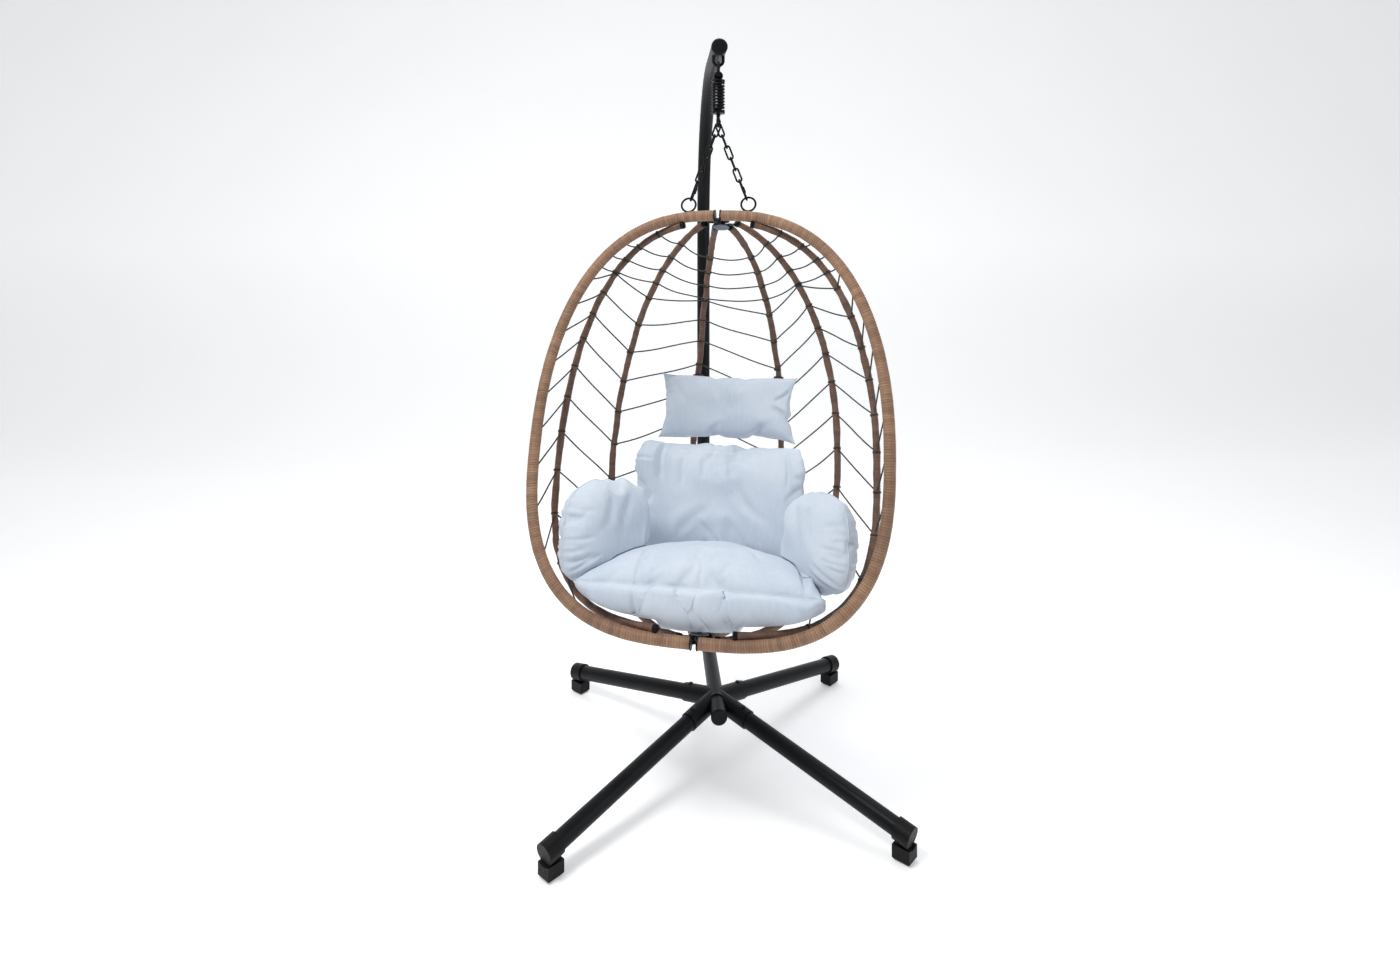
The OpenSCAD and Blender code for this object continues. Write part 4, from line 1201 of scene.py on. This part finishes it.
def seat_details(co, uv):
    front = np.clip((uv[:, 1] - 0.1) / 0.5, 0, 1)
    under = np.clip(uv[:, 2], 0, 1)
    above = np.clip(-uv[:, 2], 0, 1)
    # It bellies out under its front edge as far as its corners, and stands higher towards the back
    rise = 0.030 * front * under * (1 - uv[:, 0] ** 6)
    rise += (lump(co, -0.235, 0.13, 0.05, 0.07, 0.014) + lump(co, 0.245, 0.13, 0.045, 0.07, 0.024)) * under
    rise += lump(co, -0.03, 0.12, 0.14, 0.08, 0.014) * under
    rise += 0.012 * above * np.clip(0.7 - uv[:, 1], 0, 1) * (1 - uv[:, 0] ** 4)
    # Tucks cross the front seam, and the cover gathers towards both front corners
    rise += creases(co, SEAT_CREASES) + creases(co, SEAT_TOP_CREASES) * above
    rise += gathers(co, uv, 4, ((-0.29, 0.16), (-0.25, 0.20)), ((-0.215, 0.08), (-0.175, 0.17)), 14, 0.005)
    rise += gathers(co, uv, 3, ((0.29, 0.12), (0.29, 0.19)), ((0.235, 0.08), (0.225, 0.16)), 17, 0.005)
    return rise


def make_seat():
    return make_cushion("seat_cushion", SEAT_SIZE, 0.05, seat_details, seat_shape, SEAT_PLACE,
                        [("X", 90)], 3.1)


BACK_SEAM = ((-0.185, 0.126), (0.190, 0.126), 0.0028, 0.0035)
BACK_CREASES = [
    ((-0.165, 0.15), (-0.160, 0.03), 0.006, 0.008, 0.008),
    ((0.178, 0.14), (0.186, 0.02), 0.005, 0.006, -0.006),
]
# One long fold curves down across the panel, and soft ones hang from the seam
BACK_FACE_CREASES = [
    ((0.015, 0.120), (0.150, -0.06), 0.012, 0.007, 0.030),
    ((-0.112, 0.118), (-0.104, 0.02), 0.007, 0.0035, 0.004),
    ((-0.060, 0.116), (-0.052, 0.045), 0.006, 0.003, -0.003),
    ((-0.02, -0.02), (-0.13, -0.12), 0.014, 0.004, 0.012),
]


def back_details(co, uv):
    face = np.clip(uv[:, 2], 0, 1)
    # Both top corners roll over in gathers, and a seam runs just under the top edge
    rise = lump(co, -0.205, 0.090, 0.034, 0.05, 0.018) + lump(co, 0.215, 0.085, 0.028, 0.05, 0.014)
    rise = (rise + creases(co, [BACK_SEAM] + BACK_FACE_CREASES)) * face + creases(co, BACK_CREASES)
    rise += gathers(co, uv, 5, ((-0.25, 0.13), (-0.25, 0.035)), ((-0.170, 0.100), (-0.175, 0.050)), 4)
    rise += gathers(co, uv, 4, ((0.25, 0.12), (0.25, 0.045)), ((0.195, 0.095), (0.200, 0.050)), 9)
    return rise


def back_shape(co):
    """Narrower below its rolled top corners, its top edge arched, and bent round the basket."""
    z = 2 * co[:, 2] / BACK_SIZE[2]
    u = 2 * co[:, 0] / BACK_SIZE[0]
    below = np.clip((0.35 - z) / 0.5, 0, 1)
    below = below * below * (3 - 2 * below)
    co = co * np.stack([1 - 0.035 * below, np.ones_like(z), np.ones_like(z)], -1)
    co[:, 2] += 0.010 * (1 - u * u) * np.clip(z, 0, 1)
    return bent(BACK_SIZE[0], BACK_BEND)(co)


def make_back(seat):
    return make_cushion("back_cushion", BACK_SIZE, 0.06, back_details, back_shape, BACK_PLACE,
                        [("X", -4)], 8.4, corners=(0.3, 0.3, 0.42, 0.42), finish=clear_of(seat))


PILLOW_CREASES = [
    ((0.196, -0.050), (0.120, 0.010), 0.006, 0.008, 0.008),
    ((0.190, 0.060), (0.130, 0.020), 0.006, 0.005, -0.006),
    ((-0.02, 0.08), (0.02, -0.02), 0.010, 0.005, 0.008),
    ((-0.150, 0.07), (-0.110, 0.0), 0.008, 0.004, 0.005),
]


def pillow_details(co, uv):
    ends = gathers(co, uv, 4, ((-0.20, -0.06), (-0.20, 0.06)), ((-0.155, -0.03), (-0.150, 0.04)), 5, 0.004)
    return creases(co, PILLOW_CREASES) + ends


def make_pillow():
    make_cushion("head_pillow", PILLOW_SIZE, 0.10, pillow_details, bent(PILLOW_SIZE[0], PILLOW_BEND),
                 PILLOW_PLACE, [("X", 6)], 12.7)


# As on the right arm. The left arm has them mirrored
ARM_CREASES = [
    ((0.02, 0.11), (0.060, -0.01), 0.012, 0.0035, 0.014),
    ((-0.055, 0.11), (-0.015, -0.03), 0.013, 0.004, -0.012),
    ((-0.115, 0.05), (-0.100, -0.09), 0.005, 0.004, -0.006),
]


def arm_details(front):
    """Gathers fan in from the front edge, and soft folds run down from the top. front is -1 or 1."""
    def details(co, uv):
        rise = gathers(co, uv, 6, ((front * 0.15, -0.01), (front * 0.10, -0.14)),
                       ((front * 0.06, 0.0), (front * 0.02, -0.07)), 20 + front)
        rise += gathers(co, uv, 4, ((front * 0.15, 0.08), (front * 0.15, 0.01)),
                        ((front * 0.07, 0.075), (front * 0.08, 0.015)), 30 + front, 0.004)
        for (ax, az), (bx, bz), width, depth, bow in ARM_CREASES:
            rise += crease(co, (front * ax, az), (front * bx, bz), width, depth, front * bow)
        return rise
    return details


def arm_shape(front, ear, shorter):
    """The back edge curves in to the sitter, the top is drawn up to a corner, the foot is shorter."""
    def shape(co):
        u = 2 * co[:, 0] / ARM_SIZE[0]
        v = 2 * co[:, 2] / ARM_SIZE[2]
        back = np.clip(-front * u, 0, 1)
        peak = ear * np.exp(-((-front * u - 0.42) / 0.20) ** 2) * np.clip(v, 0, 1) ** 4
        return co + np.stack([0 * u, -ARM_BEND * back * back, peak - shorter * np.clip(v, -1, 0)], -1)
    return shape


def make_arm(s, name, seed, corners, ear, shorter, neighbours):
    make_cushion(name, ARM_SIZE, 0.05, arm_details(s), arm_shape(s, ear, shorter),
                 (s * ARM_PLACE[0], ARM_PLACE[1], ARM_PLACE[2]),
                 [("Z", -s * ARM_TURN)], seed, corners=corners, finish=clear_of(*neighbours))


# ---- the whole chair

make_camera()
make_studio()
make_rim(-1, "rim_left", "left_half")
make_rim(1, "rim_right", "right_half")
for rib_index in range(6):
    make_rib(rib_index)
for bay in range(7):
    make_strings(bay)
for upright in range(1, 7):
    make_knots(upright)
make_spring()
make_strand("left")
make_strand("right")
seat_cover = make_seat()
back_cover = make_back(seat_cover)
make_pillow()
make_arm(-1, "arm_cushion_left", 17.2, (0.4, 0.15, 0.95, 0.6), 0.014, 0.0, (seat_cover, back_cover))
make_arm(1, "arm_cushion_right", 23.9, (0.15, 0.7, 0.75, 0.85), 0.0, 0.018, (seat_cover, back_cover))
finish_cad_nodes()
